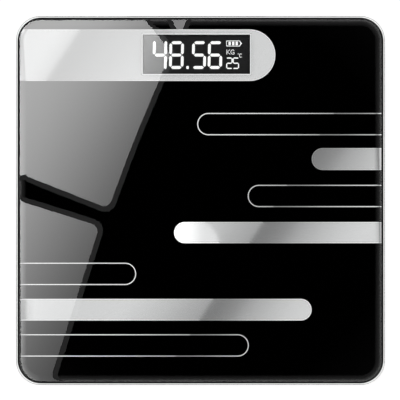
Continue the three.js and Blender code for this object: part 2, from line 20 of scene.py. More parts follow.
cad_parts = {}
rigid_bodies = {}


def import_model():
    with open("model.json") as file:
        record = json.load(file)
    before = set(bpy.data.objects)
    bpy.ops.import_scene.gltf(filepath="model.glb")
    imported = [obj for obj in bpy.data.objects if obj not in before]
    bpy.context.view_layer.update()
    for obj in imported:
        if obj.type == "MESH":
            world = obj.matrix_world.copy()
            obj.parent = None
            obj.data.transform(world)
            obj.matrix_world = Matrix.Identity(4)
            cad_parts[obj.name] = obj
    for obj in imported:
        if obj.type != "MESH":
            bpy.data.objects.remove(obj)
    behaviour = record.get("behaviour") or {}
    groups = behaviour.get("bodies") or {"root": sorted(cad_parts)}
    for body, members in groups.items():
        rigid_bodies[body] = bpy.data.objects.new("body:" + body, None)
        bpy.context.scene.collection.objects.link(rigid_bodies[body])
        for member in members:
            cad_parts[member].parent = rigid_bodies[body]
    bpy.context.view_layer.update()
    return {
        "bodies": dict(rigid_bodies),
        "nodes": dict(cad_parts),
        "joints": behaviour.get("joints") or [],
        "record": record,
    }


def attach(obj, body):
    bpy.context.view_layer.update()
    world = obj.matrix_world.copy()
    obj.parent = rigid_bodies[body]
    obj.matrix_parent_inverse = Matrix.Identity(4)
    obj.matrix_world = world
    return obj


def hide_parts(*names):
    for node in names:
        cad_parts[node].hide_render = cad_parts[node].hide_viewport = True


LOG = logging.getLogger("scale")
MM = 0.001
FULL_TURN = 2 * math.pi
GOLDEN_ANGLE = math.pi * (3 - math.sqrt(5))
SHARP = math.radians(32)  # edges sharper than this keep a hard line
STRAIGHT = math.radians(89)  # a corner whose half angle is wider than this stays as it is
SIDE_SHARE = 0.48  # the most of a side that one rounded corner takes
BLUNTEST = 0.3  # holds back the corners of a grown outline
ON_AXIS = 1e-6  # a radius in millimetres that counts as none
TOUCHING = 2e-7  # points this close, in metres, are one

Point = tuple[float, float]
Profile = tuple[Point, ...]  # (radius, z) pairs, or an outline's corners
Stops = tuple[Point, ...]  # (place, level) pairs of a curve
Colour = tuple[float, float, float]
Source = object  # a socket, a node, or a plain value
Feeds = dict[str | int, Source]

BLACK: Colour = (0, 0, 0)
WHITE: Colour = (1, 1, 1)


class Body(Enum):
    """The CAD bodies that pieces ride on."""

    PLATFORM = "platform"
    FRONT_LEFT = "foot_front_left"
    FRONT_RIGHT = "foot_front_right"
    REAR_LEFT = "foot_rear_left"
    REAR_RIGHT = "foot_rear_right"


class Slot(Enum):
    """The record's material slots."""

    GLASS = "tempered_glass"
    PRINT = "back_print"
    TAPE = "foam_tape"
    HOUSING = "housing_plastic"
    CASE = "case_plastic"
    BUTTON = "button_plastic"
    PAD = "pad_rubber"
    CELL_STEEL = "load_cell_steel"
    SEAL = "gauge_silicone"
    LEAD = "lead_jacket"
    DISPLAY = "display_glass"
    GUIDE = "light_guide"
    ZEBRA = "connector_rubber"
    BOARD = "circuit_board"
    CHIP = "chip_epoxy"
    CONTACT = "contact_nickel"
    JACKET = "cell_jacket"
    SCREW = "screw_steel"


# ---------------------------------------------------------------- outlines


def arc(centre: Point, radius: float, start: float, end: float, steps: int) -> list[Point]:
    """Points along a circular arc.

    Args:
        centre: Middle of the circle.
        radius: Its radius.
        start: First angle in degrees.
        end: Last angle in degrees.
        steps: Number of chords.

    Returns:
        The steps + 1 points from start to end.
    """
    angles = [math.radians(start + (end - start) * n / steps) for n in range(steps + 1)]
    return [(centre[0] + radius * math.cos(a), centre[1] + radius * math.sin(a)) for a in angles]


def rounded_rect(
    centre: Point, width: float, height: float, radius: float, steps: int = 8
) -> list[Point]:
    """A closed rounded rectangle, anticlockwise.

    Args:
        centre: Its middle.
        width: Size along X.
        height: Size along Y.
        radius: Corner radius.
        steps: Chords in each corner.

    Returns:
        The outline's points.
    """
    dx, dy = width / 2 - radius, height / 2 - radius
    corners = [(dx, -dy, -90), (dx, dy, 0), (-dx, dy, 90), (-dx, -dy, 180)]
    return [
        point
        for x, y, start in corners
        for point in arc((centre[0] + x, centre[1] + y), radius, start, start + 90, steps)
    ]


def fillet(points: Sequence[Point], radius: float, closed: bool = False, steps: int = 4) -> list[Point]:
    """The same line with its corners rounded.

    Args:
        points: Corners of the line.
        radius: Wanted radius, made smaller where a side is too short for it.
        closed: Whether the last point joins the first.
        steps: Chords in each corner.

    Returns:
        The rounded line's points.
    """
    made: list[Point] = []
    count = len(points)
    for n, here in enumerate(points):
        if not closed and n in (0, count - 1):
            made.append(here)
            continue
        corner = Vector(here)
        back = Vector(points[n - 1]) - corner
        ahead = Vector(points[(n + 1) % count]) - corner
        half = back.angle(ahead) / 2
        if half > STRAIGHT:
            made.append(here)
            continue
        run = min(radius / math.tan(half), SIDE_SHARE * back.length, SIDE_SHARE * ahead.length)
        start = corner + back.normalized() * run
        end = corner + ahead.normalized() * run
        for step in range(steps + 1):
            t = step / steps
            made.append(tuple(start * (1 - t) ** 2 + corner * 2 * t * (1 - t) + end * t**2))
    return made


def offset(points: Sequence[Point], distance: float) -> list[Point]:
    """A closed anticlockwise outline grown outwards.

    Args:
        points: The outline.
        distance: How far each side moves out.

    Returns:
        The grown outline.
    """
    made: list[Point] = []
    count = len(points)
    for n, here in enumerate(points):
        back = (Vector(here) - Vector(points[n - 1])).normalized()
        ahead = (Vector(points[(n + 1) % count]) - Vector(here)).normalized()
        out = Vector((back.y + ahead.y, -back.x - ahead.x)).normalized()
        reach = distance / max(BLUNTEST, out.dot(Vector((back.y, -back.x))))
        made.append((here[0] + out.x * reach, here[1] + out.y * reach))
    return made


# ---------------------------------------------------------------- meshes


def linked(made: Object) -> Object:
    """The object, put in the scene."""
    bpy.context.scene.collection.objects.link(made)
    return made


def smooth(made: Object, angle: float = SHARP) -> Object:
    """The object with smooth faces and hard lines only at edges sharper than angle.

    Args:
        made: The object.
        angle: How sharp an edge has to be to stay hard, in radians.

    Returns:
        The same object.
    """
    made.data.shade_smooth()
    made.data.set_sharp_from_angle(angle=angle)
    return made


def solid(
    name: str,
    vertices: Iterable[Sequence[float]],
    faces: Iterable[Sequence[int]] = (),
    edges: Iterable[Sequence[int]] = (),
) -> Object:
    """A mesh object.

    Args:
        name: The object's name.
        vertices: Points in millimetres.
        faces: Corner numbers of each face, anticlockwise from outside.
        edges: End numbers of each loose edge.

    Returns:
        The object, in the scene.
    """
    mesh = bpy.data.meshes.new(name)
    mesh.from_pydata([[c * MM for c in v] for v in vertices], list(edges), list(faces))
    mesh.update()
    return linked(bpy.data.objects.new(name, mesh))


def loft(name: str, rings: Sequence[Sequence[Sequence[float]]]) -> Object:
    """A closed solid through rings of points.

    Args:
        name: The object's name.
        rings: From the underside outwards, up and back to the top; a ring of one point is a pole.

    Returns:
        The object. A first or last ring of several points is closed with one flat face.
    """
    starts: list[int] = []
    vertices: list[Sequence[float]] = []
    faces: list[list[int]] = []
    for ring in rings:
        starts.append(len(vertices))
        vertices.extend(ring)
    for n in range(len(rings) - 1):
        low, high = starts[n], starts[n + 1]
        sides = max(len(rings[n]), len(rings[n + 1]))
        for i in range(sides):
            j = (i + 1) % sides
            if len(rings[n]) == 1:
                faces.append([low, high + j, high + i])
            elif len(rings[n + 1]) == 1:
                faces.append([low + i, low + j, high])
            else:
                faces.append([low + i, low + j, high + j, high + i])
    if len(rings[0]) > 1:
        faces.append([starts[0] + i for i in reversed(range(len(rings[0])))])
    if len(rings[-1]) > 1:
        faces.append([starts[-1] + i for i in range(len(rings[-1]))])
    return solid(name, vertices, faces)


def revolve(name: str, profile: Sequence[Point], sides: int) -> Object:
    """A turned solid about the Z axis.

    Args:
        name: The object's name.
        profile: (radius, z) pairs so that the outer wall runs upwards.
        sides: Facets round the axis.

    Returns:
        The object.
    """
    rings = []
    for radius, z in profile:
        turns = range(sides if radius > ON_AXIS else 1)
        angles = [FULL_TURN * n / sides for n in turns]
        rings.append([(radius * math.cos(a), radius * math.sin(a), z) for a in angles])
    return smooth(loft(name, rings))


def plain(name: str, source: Object) -> Object:
    """What an object evaluates to, as a plain mesh object; the source is removed.

    Args:
        name: The new object's name.
        source: A curve or a mesh with modifiers.

    Returns:
        The plain mesh object.
    """
    graph = bpy.context.evaluated_depsgraph_get()
    mesh = bpy.data.meshes.new_from_object(source.evaluated_get(graph), depsgraph=graph)
    bpy.data.objects.remove(source)
    mesh.name = name
    return linked(bpy.data.objects.new(name, mesh))


def weld(made: Object) -> Object:
    """The object with its coincident points merged and its faces turned outwards.

    Args:
        made: The object.

    Returns:
        The same object.
    """
    work = bmesh.new()
    work.from_mesh(made.data)
    bmesh.ops.remove_doubles(work, verts=work.verts, dist=TOUCHING)
    bmesh.ops.recalc_face_normals(work, faces=work.faces)
    work.to_mesh(made.data)
    work.free()
    return made


def place(made: Object, matrix: Matrix) -> Object:
    """The object with its mesh moved, so that the object itself stays at the origin.

    Args:
        made: The object.
        matrix: Its move, in metres.

    Returns:
        The same object.
    """
    made.data.transform(matrix)
    made.data.update()
    return made


def slab(name: str, outlines: Iterable[Sequence[Point]], z0: float, z1: float) -> Object:
    """A flat solid with vertical walls.

    Args:
        name: The object's name.
        outlines: Closed outlines; one inside another is a hole.
        z0: Underside.
        z1: Upper side.

    Returns:
        The object.
    """
    curve = bpy.data.curves.new(name, "CURVE")
    curve.dimensions = "2D"
    curve.fill_mode = "BOTH"
    curve.extrude = (z1 - z0) / 2 * MM
    for outline in outlines:
        spline = curve.splines.new("POLY")
        spline.points.add(len(outline) - 1)
        spline.points.foreach_set("co", [c for x, y in outline for c in (x * MM, y * MM, 0, 1)])
        spline.use_cyclic_u = True
    made = plain(name, linked(bpy.data.objects.new(name + "_outline", curve)))
    made.data.materials.clear()
    return weld(place(made, Matrix.Translation((0, 0, (z0 + z1) / 2 * MM))))


def box(name: str, low: Sequence[float], high: Sequence[float]) -> Object:
    """A block between two corners.

    Args:
        name: The object's name.
        low: The corner with the least coordinates.
        high: The corner with the greatest.

    Returns:
        The object.
    """
    middle = ((low[0] + high[0]) / 2, (low[1] + high[1]) / 2)
    corners = rounded_rect(middle, high[0] - low[0], high[1] - low[1], 0, 1)[::2]
    return loft(name, [[(x, y, z) for x, y in corners] for z in (low[2], high[2])])


def merged(name: str, parts: Sequence[Object]) -> Object:
    """One object with the meshes of several, which are removed.

    Args:
        name: The new object's name.
        parts: The objects.

    Returns:
        The new object.
    """
    work = bmesh.new()
    for part in parts:
        work.from_mesh(part.data)
        bpy.data.objects.remove(part)
    mesh = bpy.data.meshes.new(name)
    work.to_mesh(mesh)
    work.free()
    return linked(bpy.data.objects.new(name, mesh))


def rounded_edges(made: Object, width: float, segments: int) -> Object:
    """The object with its hard edges rounded, as a plain mesh.

    Args:
        made: The object, which is used up.
        width: How wide the rounding is.
        segments: Facets across it.

    Returns:
        The new object.
    """
    bevel = made.modifiers.new("rounding", "BEVEL")
    bevel.width = width * MM
    bevel.segments = segments
    bevel.limit_method = "ANGLE"
    bevel.angle_limit = SHARP
    return smooth(plain(made.name, made))


# ---------------------------------------------------------------- node trees


def grey(level: float) -> Colour:
    """A neutral colour."""
    return (level, level, level)


def shade(colour: Colour, factor: float, lift: float = 0) -> Colour:
    """A colour made darker or paler."""
    return tuple(min(1, c * factor + lift) for c in colour)


class Graph:
    """Adds nodes to one tree and links their sockets."""

    def __init__(self, tree: NodeTree) -> None:
        """Starts on a tree."""
        self.tree = tree

    @classmethod
    def fresh(cls, owner: Material | bpy.types.World) -> "Graph":
        """Starts on the emptied node tree of a material or a world.

        Args:
            owner: The material or the world.

        Returns:
            The graph.
        """
        owner.use_nodes = True
        owner.node_tree.nodes.clear()
        return cls(owner.node_tree)

    def add(self, kind: str, feeds: Feeds | None = None, **settings: object) -> Node:
        """Adds a node.

        Args:
            kind: The node's type.
            feeds: What each input takes, by name or number.
            settings: The node's own properties.

        Returns:
            The node.
        """
        node = self.tree.nodes.new(kind)
        for name, value in settings.items():
            setattr(node, name, value)
        for key, source in (feeds or {}).items():
            self.feed(node.inputs[key], source)
        return node

    def feed(self, socket: NodeSocket, source: Source) -> None:
        """Links a socket or a node's first output to an input, or writes a plain value on it.

        Args:
            socket: The input.
            source: What it takes; a colour is written without its alpha.
        """
        if isinstance(source, Node):
            source = next(s for s in source.outputs if s.enabled)
        if isinstance(source, NodeSocket):
            self.tree.links.new(source, socket)
        elif socket.type == "RGBA":
            socket.default_value = (*source, 1)
        else:
            socket.default_value = source

    def spot(self) -> NodeSocket:
        """The place on the object, in metres."""
        return self.add("ShaderNodeTexCoord").outputs["Object"]

    def axes(self, vector: Source) -> bpy.types.NodeOutputs:
        """The X, Y and Z of a vector."""
        return self.add("ShaderNodeSeparateXYZ", {0: vector}).outputs

    def math(self, operation: str, *values: Source) -> NodeSocket:
        """The output of a Math node on these values."""
        return self.add("ShaderNodeMath", dict(enumerate(values)), operation=operation).outputs[0]

    def times(self, *values: Source) -> Source:
        """The product of several values."""
        return reduce(partial(self.math, "MULTIPLY"), values)

    def noise(self, spot: Source, scale: Source, detail: float, distortion: float = 0) -> NodeSocket:
        """A noise value at a place."""
        feeds = {"Vector": spot, "Scale": scale, "Detail": detail, "Distortion": distortion}
        return self.add("ShaderNodeTexNoise", feeds).outputs[0]

    def effect(self, tree: NodeTree, **inputs: Source) -> bpy.types.NodeOutputs:
        """The outputs of a shared node group that takes these inputs."""
        return self.add("ShaderNodeGroup", inputs, node_tree=tree).outputs

    def blend(self, factor: Source, first: Source, second: Source) -> NodeSocket:
        """A colour between two others."""
        feeds = {0: factor, 6: first, 7: second}
        return self.add("ShaderNodeMix", feeds, data_type="RGBA").outputs[2]

    def spread(
        self, value: Source, low: float, high: float, least: float = 0, most: float = 1
    ) -> NodeSocket:
        """A value between least and most, spread over low to high."""
        return self.add("ShaderNodeMapRange", {0: value, 1: least, 2: most, 3: low, 4: high}).outputs[0]

    def scaled(self, value: Source, factor: Source) -> NodeSocket:
        """A colour or vector times a number."""
        return self.add("ShaderNodeVectorMath", {0: value, 3: factor}, operation="SCALE").outputs[0]

    def ramp(self, value: Source, stops: Sequence[Point]) -> NodeSocket:
        """A grey curve through (place, level) stops with places from 0 to 1.

        Args:
            value: Where on the curve.
            stops: The curve.

        Returns:
            The level there.
        """
        node = self.add("ShaderNodeValToRGB", {0: value})
        elements = node.color_ramp.elements
        while len(elements) < len(stops):
            elements.new(1)
        for element, (at, level) in zip(elements, stops):
            element.position = at
            element.color = (*grey(level), 1)
        return node.outputs[0]

    def inside(self, axes: Iterable[Source], centre: Sequence[float], size: Sequence[float]) -> Source:
        """1 in a rectangle and 0 outside it.

        Args:
            axes: A point's X and Y.
            centre: The rectangle's middle, in the same unit.
            size: Its width and height.

        Returns:
            The value.
        """
        masks = []
        for at, middle, span in zip(axes, centre, size):
            away = self.math("ABSOLUTE", self.math("SUBTRACT", at, middle))
            masks.append(self.math("LESS_THAN", away, span / 2))
        return self.times(*masks)


class Effects:
    """Shader node groups that several finishes share."""

    def __init__(self) -> None:
        """Builds every group."""
        self.grain = self._grain()
        self.scuffs = self._scuffs()
        self.dust = self._dust()
        self.streaks = self._streaks()

    @staticmethod
    def _group(
        name: str, inputs: dict[str, float], outputs: Sequence[str]
    ) -> tuple[Graph, bpy.types.NodeOutputs, bpy.types.NodeInputs]:
        """An empty group with float inputs and outputs.

        Args:
            name: The group's name.
            inputs: Each input's starting value.
            outputs: The outputs' names.

        Returns:
            The graph, what the group is given and what it has to fill.
        """
        tree = bpy.data.node_groups.new(name, "ShaderNodeTree")
        for key, value in inputs.items():
            socket = tree.interface.new_socket(key, in_out="INPUT", socket_type="NodeSocketFloat")
            socket.default_value = value
        for key in outputs:
            tree.interface.new_socket(key, in_out="OUTPUT", socket_type="NodeSocketFloat")
        graph = Graph(tree)
        return graph, graph.add("NodeGroupInput").outputs, graph.add("NodeGroupOutput").inputs

    def _grain(self) -> NodeTree:
        """Spark-eroded mould grain: a height and a slight tone.

        Returns:
            The group.
        """
        starts = {"Scale": 2500, "Contrast": 0.3}
        graph, given, wanted = self._group("mould_grain", starts, ["Height", "Tone"])
        spot, scale = graph.spot(), given["Scale"]
        fine = graph.noise(spot, scale, 3.0)
        cells = graph.add("ShaderNodeTexVoronoi", {"Vector": spot, "Scale": scale}, feature="SMOOTH_F1")
        graph.feed(wanted["Height"], graph.math("ADD", fine, graph.times(cells.outputs[0], 0.6)))
        swing = graph.times(graph.math("SUBTRACT", fine, 0.5), given["Contrast"])
        graph.feed(wanted["Tone"], graph.math("ADD", swing, 1.0))
        return graph.tree

    def _scuffs(self) -> NodeTree:
        """Faint rubbed patches and hairlines from handling.

        Returns:
            The group.
        """
        graph, given, wanted = self._group("handling_scuffs", {"Scale": 60, "Amount": 0.5}, ["Mask"])
        spot = graph.spot()
        rubbed = graph.spread(graph.noise(spot, given["Scale"], 6.0), 0, 1, 0.5, 0.72)
        drawn = {"Rotation": (0.4, 0.2, 0.7), "Scale": (30, 1, 30)}
        turned = graph.add("ShaderNodeMapping", {"Vector": spot, **drawn})
        hair = graph.spread(graph.noise(turned, given["Scale"], 2.0), 0, 1, 0.66, 0.7)
        both = graph.math("MAXIMUM", rubbed, graph.times(hair, 0.6))
        graph.feed(wanted["Mask"], graph.times(both, given["Amount"]))
        return graph.tree

    def _dust(self) -> NodeTree:
        """Fine dust that settles on faces that look up.

        Returns:
            The group.
        """
        graph, given, wanted = self._group("settled_dust", {"Scale": 900, "Amount": 0.3}, ["Mask"])
        sparse = graph.spread(graph.noise(graph.spot(), given["Scale"], 5.0), 0, 1, 0.52, 0.75)
        facing = graph.axes(graph.add("ShaderNodeNewGeometry").outputs["Normal"])
        upward = graph.spread(facing[2], 0.15, 1, 0.2, 0.9)
        graph.feed(wanted["Mask"], graph.times(sparse, upward, given["Amount"]))
        return graph.tree

    def _streaks(self) -> NodeTree:
        """Rolling lines along X on sheet metal, and slow tarnish.

        Returns:
            The group.
        """
        starts = {"Scale": 900, "Stretch": 0.03}
        graph, given, wanted = self._group("rolled_streaks", starts, ["Streak", "Tarnish"])
        spot = graph.spot()
        x, y, z = graph.axes(spot)
        drawn = graph.add("ShaderNodeCombineXYZ", {0: graph.times(x, given["Stretch"]), 1: y, 2: z})
        graph.feed(wanted["Streak"], graph.noise(drawn, given["Scale"], 4.0))
        graph.feed(wanted["Tarnish"], graph.spread(graph.noise(spot, 90.0, 5.0), 0, 1, 0.45, 0.75))
        return graph.tree


# ---------------------------------------------------------------- finishes


@dataclass(frozen=True)
class Finish:
    """A named finish with a Principled surface; each kind adds its own pattern."""

    name: str
    slot: Slot

    def material(self, effects: Effects) -> Material:
        """The finish as a material, made once.

        Args:
            effects: The shared node groups.

        Returns:
            The material.
        """
        known = bpy.data.materials.get(self.name)
        if known:
            return known
        made = bpy.data.materials.new(self.name)
        graph = Graph.fresh(made)
        surface = graph.add("ShaderNodeBsdfPrincipled", self.sockets(graph, effects))
        graph.add("ShaderNodeOutputMaterial", {"Surface": self.shown(graph, surface)})
        return made

    def sockets(self, graph: Graph, effects: Effects) -> Feeds:
        """What the sockets of the Principled surface take."""
        raise NotImplementedError

    def shown(self, graph: Graph, surface: Node) -> Node:
        """The shader that goes to the output."""
        return surface

    @staticmethod
    def bump(graph: Graph, height: Source, distance: float) -> Node:
        """A normal from a height, distance in millimetres deep."""
        feeds = {"Height": height, "Distance": distance * MM, "Strength": 1.0}
        return graph.add("ShaderNodeBump", feeds)


@dataclass(frozen=True)
class ClearGlass(Finish):
    """Polished toughened glass, which lets shadow rays through."""

    tint: Colour = (0.985, 0.995, 0.99)
    ior: float = 1.551
    smear: float = 0.006  # how rough a finger mark is

    def sockets(self, graph: Graph, effects: Effects) -> Feeds:
        """Clear glass with faint smears.

        Args:
            graph: The material's graph.
            effects: The shared node groups.

        Returns:
            What the surface's sockets take.
        """
        marks = graph.effect(effects.scuffs, Scale=14.0, Amount=1.0)
        return {
            "Base Color": self.tint,
            "Transmission Weight": 1.0,
            "IOR": self.ior,
            "Roughness": graph.spread(marks["Mask"], 0, self.smear),
        }

    def shown(self, graph: Graph, surface: Node) -> Node:
        """The surface, and nothing for shadow rays.

        Args:
            graph: The material's graph.
            surface: The Principled surface.

        Returns:
            The shader for the output.
        """
        shadow = graph.add("ShaderNodeLightPath").outputs["Is Shadow Ray"]
        clear = graph.add("ShaderNodeBsdfTransparent", {0: self.tint})
        return graph.add("ShaderNodeMixShader", {0: shadow, 1: surface, 2: clear})


@dataclass(frozen=True)
class Ink(Finish):
    """Screen-print ink that is fused to the glass, seen through it."""

    colour: Colour = (0.0009, 0.0009, 0.001)

    def sockets(self, graph: Graph, effects: Effects) -> Feeds:
        """Dead black with a trace of mesh grain.

        Args:
            graph: The material's graph.
            effects: The shared node groups.

        Returns:
            What the surface's sockets take.
        """
        grain = graph.effect(effects.grain, Scale=700.0, Contrast=0.3)
        tone = graph.blend(graph.math("SUBTRACT", grain["Tone"], 0.85), BLACK, self.colour)
        return {"Base Color": tone, "Roughness": 1.0, "Specular IOR Level": 0.0}


@dataclass(frozen=True)
class Painted(Finish):
    """The bare back of a printed film: satin paint with a little texture and dust."""

    colour: Colour = (0.012, 0.012, 0.013)
    roughness: float = 0.42

    def sockets(self, graph: Graph, effects: Effects) -> Feeds:
        """Satin paint with a screen-mesh texture.

        Args:
            graph: The material's graph.
            effects: The shared node groups.

        Returns:
            What the surface's sockets take.
        """
        grain = graph.effect(effects.grain, Scale=1600.0, Contrast=0.4)
        scuffs = graph.effect(effects.scuffs, Scale=30.0, Amount=0.5)
        return {
            "Base Color": graph.blend(scuffs["Mask"], self.colour, shade(self.colour, 2.4)),
            "Roughness": graph.times(grain["Tone"], self.roughness),
            "Normal": self.bump(graph, grain["Height"], 0.01),
        }


@dataclass(frozen=True)
class MirrorInk(Finish):
    """Silver mirror ink behind the glass, with the faint sparkle of its flakes."""

    colour: Colour = (0.8, 0.8, 0.805)
    roughness: float = 0.03
    flake: float = 0.02
    # painted shade: the silver's colour is scaled down towards the print's left edge, where its reflection
    # looks dimmer
    painted_edge_shade: Stops = ((-137, 0.35), (-135.7, 0.5), (-134, 0.72), (-132, 0.9), (-130, 1))  # over X

    def sockets(self, graph: Graph, effects: Effects) -> Feeds:
        """A mirror with a slight tone from flake to flake, and painted shade that darkens it towards the
        left edge of the print.

        Args:
            graph: The material's graph.
            effects: The shared node groups.

        Returns:
            What the surface's sockets take.
        """
        streaks = graph.effect(effects.streaks, Scale=260.0, Stretch=1.0)
        tone = graph.blend(streaks["Streak"], shade(self.colour, 1 - self.flake), self.colour)
        first, last = self.painted_edge_shade[0][0], self.painted_edge_shade[-1][0]
        along = graph.spread(graph.axes(graph.spot())[0], 0, 1, first * MM, last * MM)
        # painted shade that darkens the silver towards the left edge
        painted_edge_shade = graph.ramp(along, [((x - first) / (last - first), share) for x, share in self.painted_edge_shade])
        return {"Base Color": graph.scaled(tone, painted_edge_shade), "Metallic": 1.0, "Roughness": self.roughness}


@dataclass(frozen=True)
class LitFigure(Finish):
    """A figure or legend that the backlight shines through."""

    colour: Colour = WHITE
    strength: float = 1.16

    def sockets(self, graph: Graph, effects: Effects) -> Feeds:
        """White light with the slight unevenness of a light guide.

        Args:
            graph: The material's graph.
            effects: The shared node groups; not used here.

        Returns:
            What the surface's sockets take.
        """
        clouds = graph.noise(graph.spot(), 45.0, 1.0)
        return {
            "Base Color": (0.02, 0.02, 0.02),
            "Roughness": 0.3,
            "Specular IOR Level": 0.0,
            "Emission Color": graph.blend(clouds, shade(self.colour, 0.94), self.colour),
            "Emission Strength": self.strength,
        }


@dataclass(frozen=True)
class Polariser(Finish):
    """The dark front of a negative display: polarised glass with a faint glow in its viewing area."""

    colour: Colour = (0.004, 0.004, 0.0045)
    glow: float = 0.0
    centre: Point = (0, 0)
    size: Point = (80, 28)

    def sockets(self, graph: Graph, effects: Effects) -> Feeds:
        """Dark glass whose viewing area leaks a little light.

        Args:
            graph: The material's graph.
            effects: The shared node groups; not used here.

        Returns:
            What the surface's sockets take.
        """
        centre, size = ([c * MM for c in pair] for pair in (self.centre, self.size))
        lit = graph.inside(graph.axes(graph.spot()), centre, size)
        return {
            "Base Color": self.colour,
            "Roughness": 0.02,
            "Emission Color": graph.blend(lit, BLACK, WHITE),
            "Emission Strength": self.glow,
        }


@dataclass(frozen=True)
class Moulded(Finish):
    """Injection-moulded plastic or rubber with mould grain, scuffs and settled dust."""

    colour: Colour = (0.02, 0.02, 0.022)
    roughness: float = 0.45
    grain: float = 2500
    depth: float = 0.012
    worn: float = 0.35
    dusty: float = 0.12
    specular: float = 0.5
    dust: Colour = (0.35, 0.34, 0.33)
    smoothest: float = 0.15

    def sockets(self, graph: Graph, effects: Effects) -> Feeds:
        """Grain in the normal and tone, paler scuffs, and dust on upper faces.

        Args:
            graph: The material's graph.
            effects: The shared node groups.

        Returns:
            What the surface's sockets take.
        """
        grain = graph.effect(effects.grain, Scale=self.grain, Contrast=0.35)
        scuffs = graph.effect(effects.scuffs, Scale=70.0, Amount=self.worn)
        dust = graph.effect(effects.dust, Scale=1200.0, Amount=self.dusty)
        bare = graph.blend(scuffs["Mask"], self.colour, shade(self.colour, 1.8, 0.01))
        rubbed = graph.times(scuffs["Mask"], -0.25)
        rough = graph.math("ADD", graph.times(grain["Tone"], self.roughness), rubbed)
        return {
            "Base Color": graph.blend(dust["Mask"], graph.scaled(bare, grain["Tone"]), self.dust),
            "Roughness": graph.math("MAXIMUM", rough, self.smoothest),
            "Specular IOR Level": self.specular,
            "Normal": self.bump(graph, grain["Height"], self.depth),
        }


@dataclass(frozen=True)
class Foam(Finish):
    """Closed-cell foam tape with open pores at its cut edge."""

    colour: Colour = (0.55, 0.55, 0.53)

    def sockets(self, graph: Graph, effects: Effects) -> Feeds:
        """Pores that dent the foam, with painted shade that darkens their hollows.

        Args:
            graph: The material's graph.
            effects: The shared node groups; not used here.

        Returns:
            What the surface's sockets take.
        """
        pores = graph.add("ShaderNodeTexVoronoi", {"Vector": graph.spot(), "Scale": 3800.0})
        # the pore mask is low in each pore: it dents the foam there and darkens it with painted shade in
        # the hollow
        pore_height_and_shade = graph.spread(pores.outputs["Distance"], 0, 1, 0.1, 0.5)
        return {
            "Base Color": graph.blend(pore_height_and_shade, shade(self.colour, 0.45), self.colour),
            "Roughness": 0.9,
            "Normal": self.bump(graph, pore_height_and_shade, 0.06),
        }


@dataclass(frozen=True)
class SheetMetal(Finish):
    """Plated or bare sheet metal with rolling lines and a little tarnish."""

    colour: Colour = (0.62, 0.63, 0.65)
    tarnished: Colour = (0.4, 0.39, 0.37)
    roughness: float = 0.28
    stretch: float = 0.03

    def sockets(self, graph: Graph, effects: Effects) -> Feeds:
        """Lines in the roughness and normal, with clouds of tarnish.

        Args:
            graph: The material's graph.
            effects: The shared node groups.

        Returns:
            What the surface's sockets take.
        """
        streaks = graph.effect(effects.streaks, Scale=1500.0, Stretch=self.stretch)
        smoothest, roughest = self.roughness * 0.6, self.roughness * 1.5
        return {
            "Base Color": graph.blend(graph.times(streaks["Tarnish"], 0.5), self.colour, self.tarnished),
            "Metallic": 1.0,
            "Roughness": graph.spread(streaks["Streak"], smoothest, roughest, 0.3, 0.7),
            "Normal": self.bump(graph, streaks["Streak"], 0.006),
        }


@dataclass(frozen=True)
class Board(Finish):
    """Circuit board: green mask over traces, with tinned pads in rows."""

    mask: Colour = (0.012, 0.11, 0.04)
    copper: Colour = (0.035, 0.2, 0.075)
    pitch: float = 2.0

    def sockets(self, graph: Graph, effects: Effects) -> Feeds:
        """Stepped traces under the mask.

        Args:
            graph: The material's graph.
            effects: The shared node groups; not used here.

        Returns:
            What the surface's sockets take.
        """
        spot = graph.spot()
        scale = 1 / (self.pitch * MM)
        rows = {"Mortar Size": 0.16, "Brick Width": 4.0, "Row Height": 0.8}
        bricks = graph.add("ShaderNodeTexBrick", {"Vector": spot, "Scale": scale, **rows})
        holes = {"Vector": spot, "Scale": scale * 0.5}
        cells = graph.add("ShaderNodeTexVoronoi", holes, distance="CHEBYCHEV")
        vias = graph.math("LESS_THAN", cells.outputs["Distance"], 0.12)
        traces = graph.math("MAXIMUM", bricks.outputs["Fac"], vias)
        return {
            "Base Color": graph.blend(traces, self.mask, self.copper),
            "Roughness": 0.32,
            "Normal": self.bump(graph, traces, 0.035),
        }


@dataclass(frozen=True)
class Cast(Finish):
    """Smooth resin, silicone or acrylic with soft swirls in its tone."""

    colour: Colour = (0.8, 0.79, 0.75)
    roughness: float = 0.35
    swirl: float = 0.12
    scatter: float = 0.0

    def sockets(self, graph: Graph, effects: Effects) -> Feeds:
        """Soft swirls in the tone and a gently uneven skin.

        Args:
            graph: The material's graph.
            effects: The shared node groups; not used here.

        Returns:
            What the surface's sockets take.
        """
        swirls = graph.noise(graph.spot(), 350.0, 3.0, 1.0)
        return {
            "Base Color": graph.blend(swirls, shade(self.colour, 1 - self.swirl), self.colour),
            "Roughness": self.roughness,
            "Subsurface Weight": self.scatter,
            "Subsurface Scale": MM,
            "Normal": self.bump(graph, swirls, 0.02),
        }


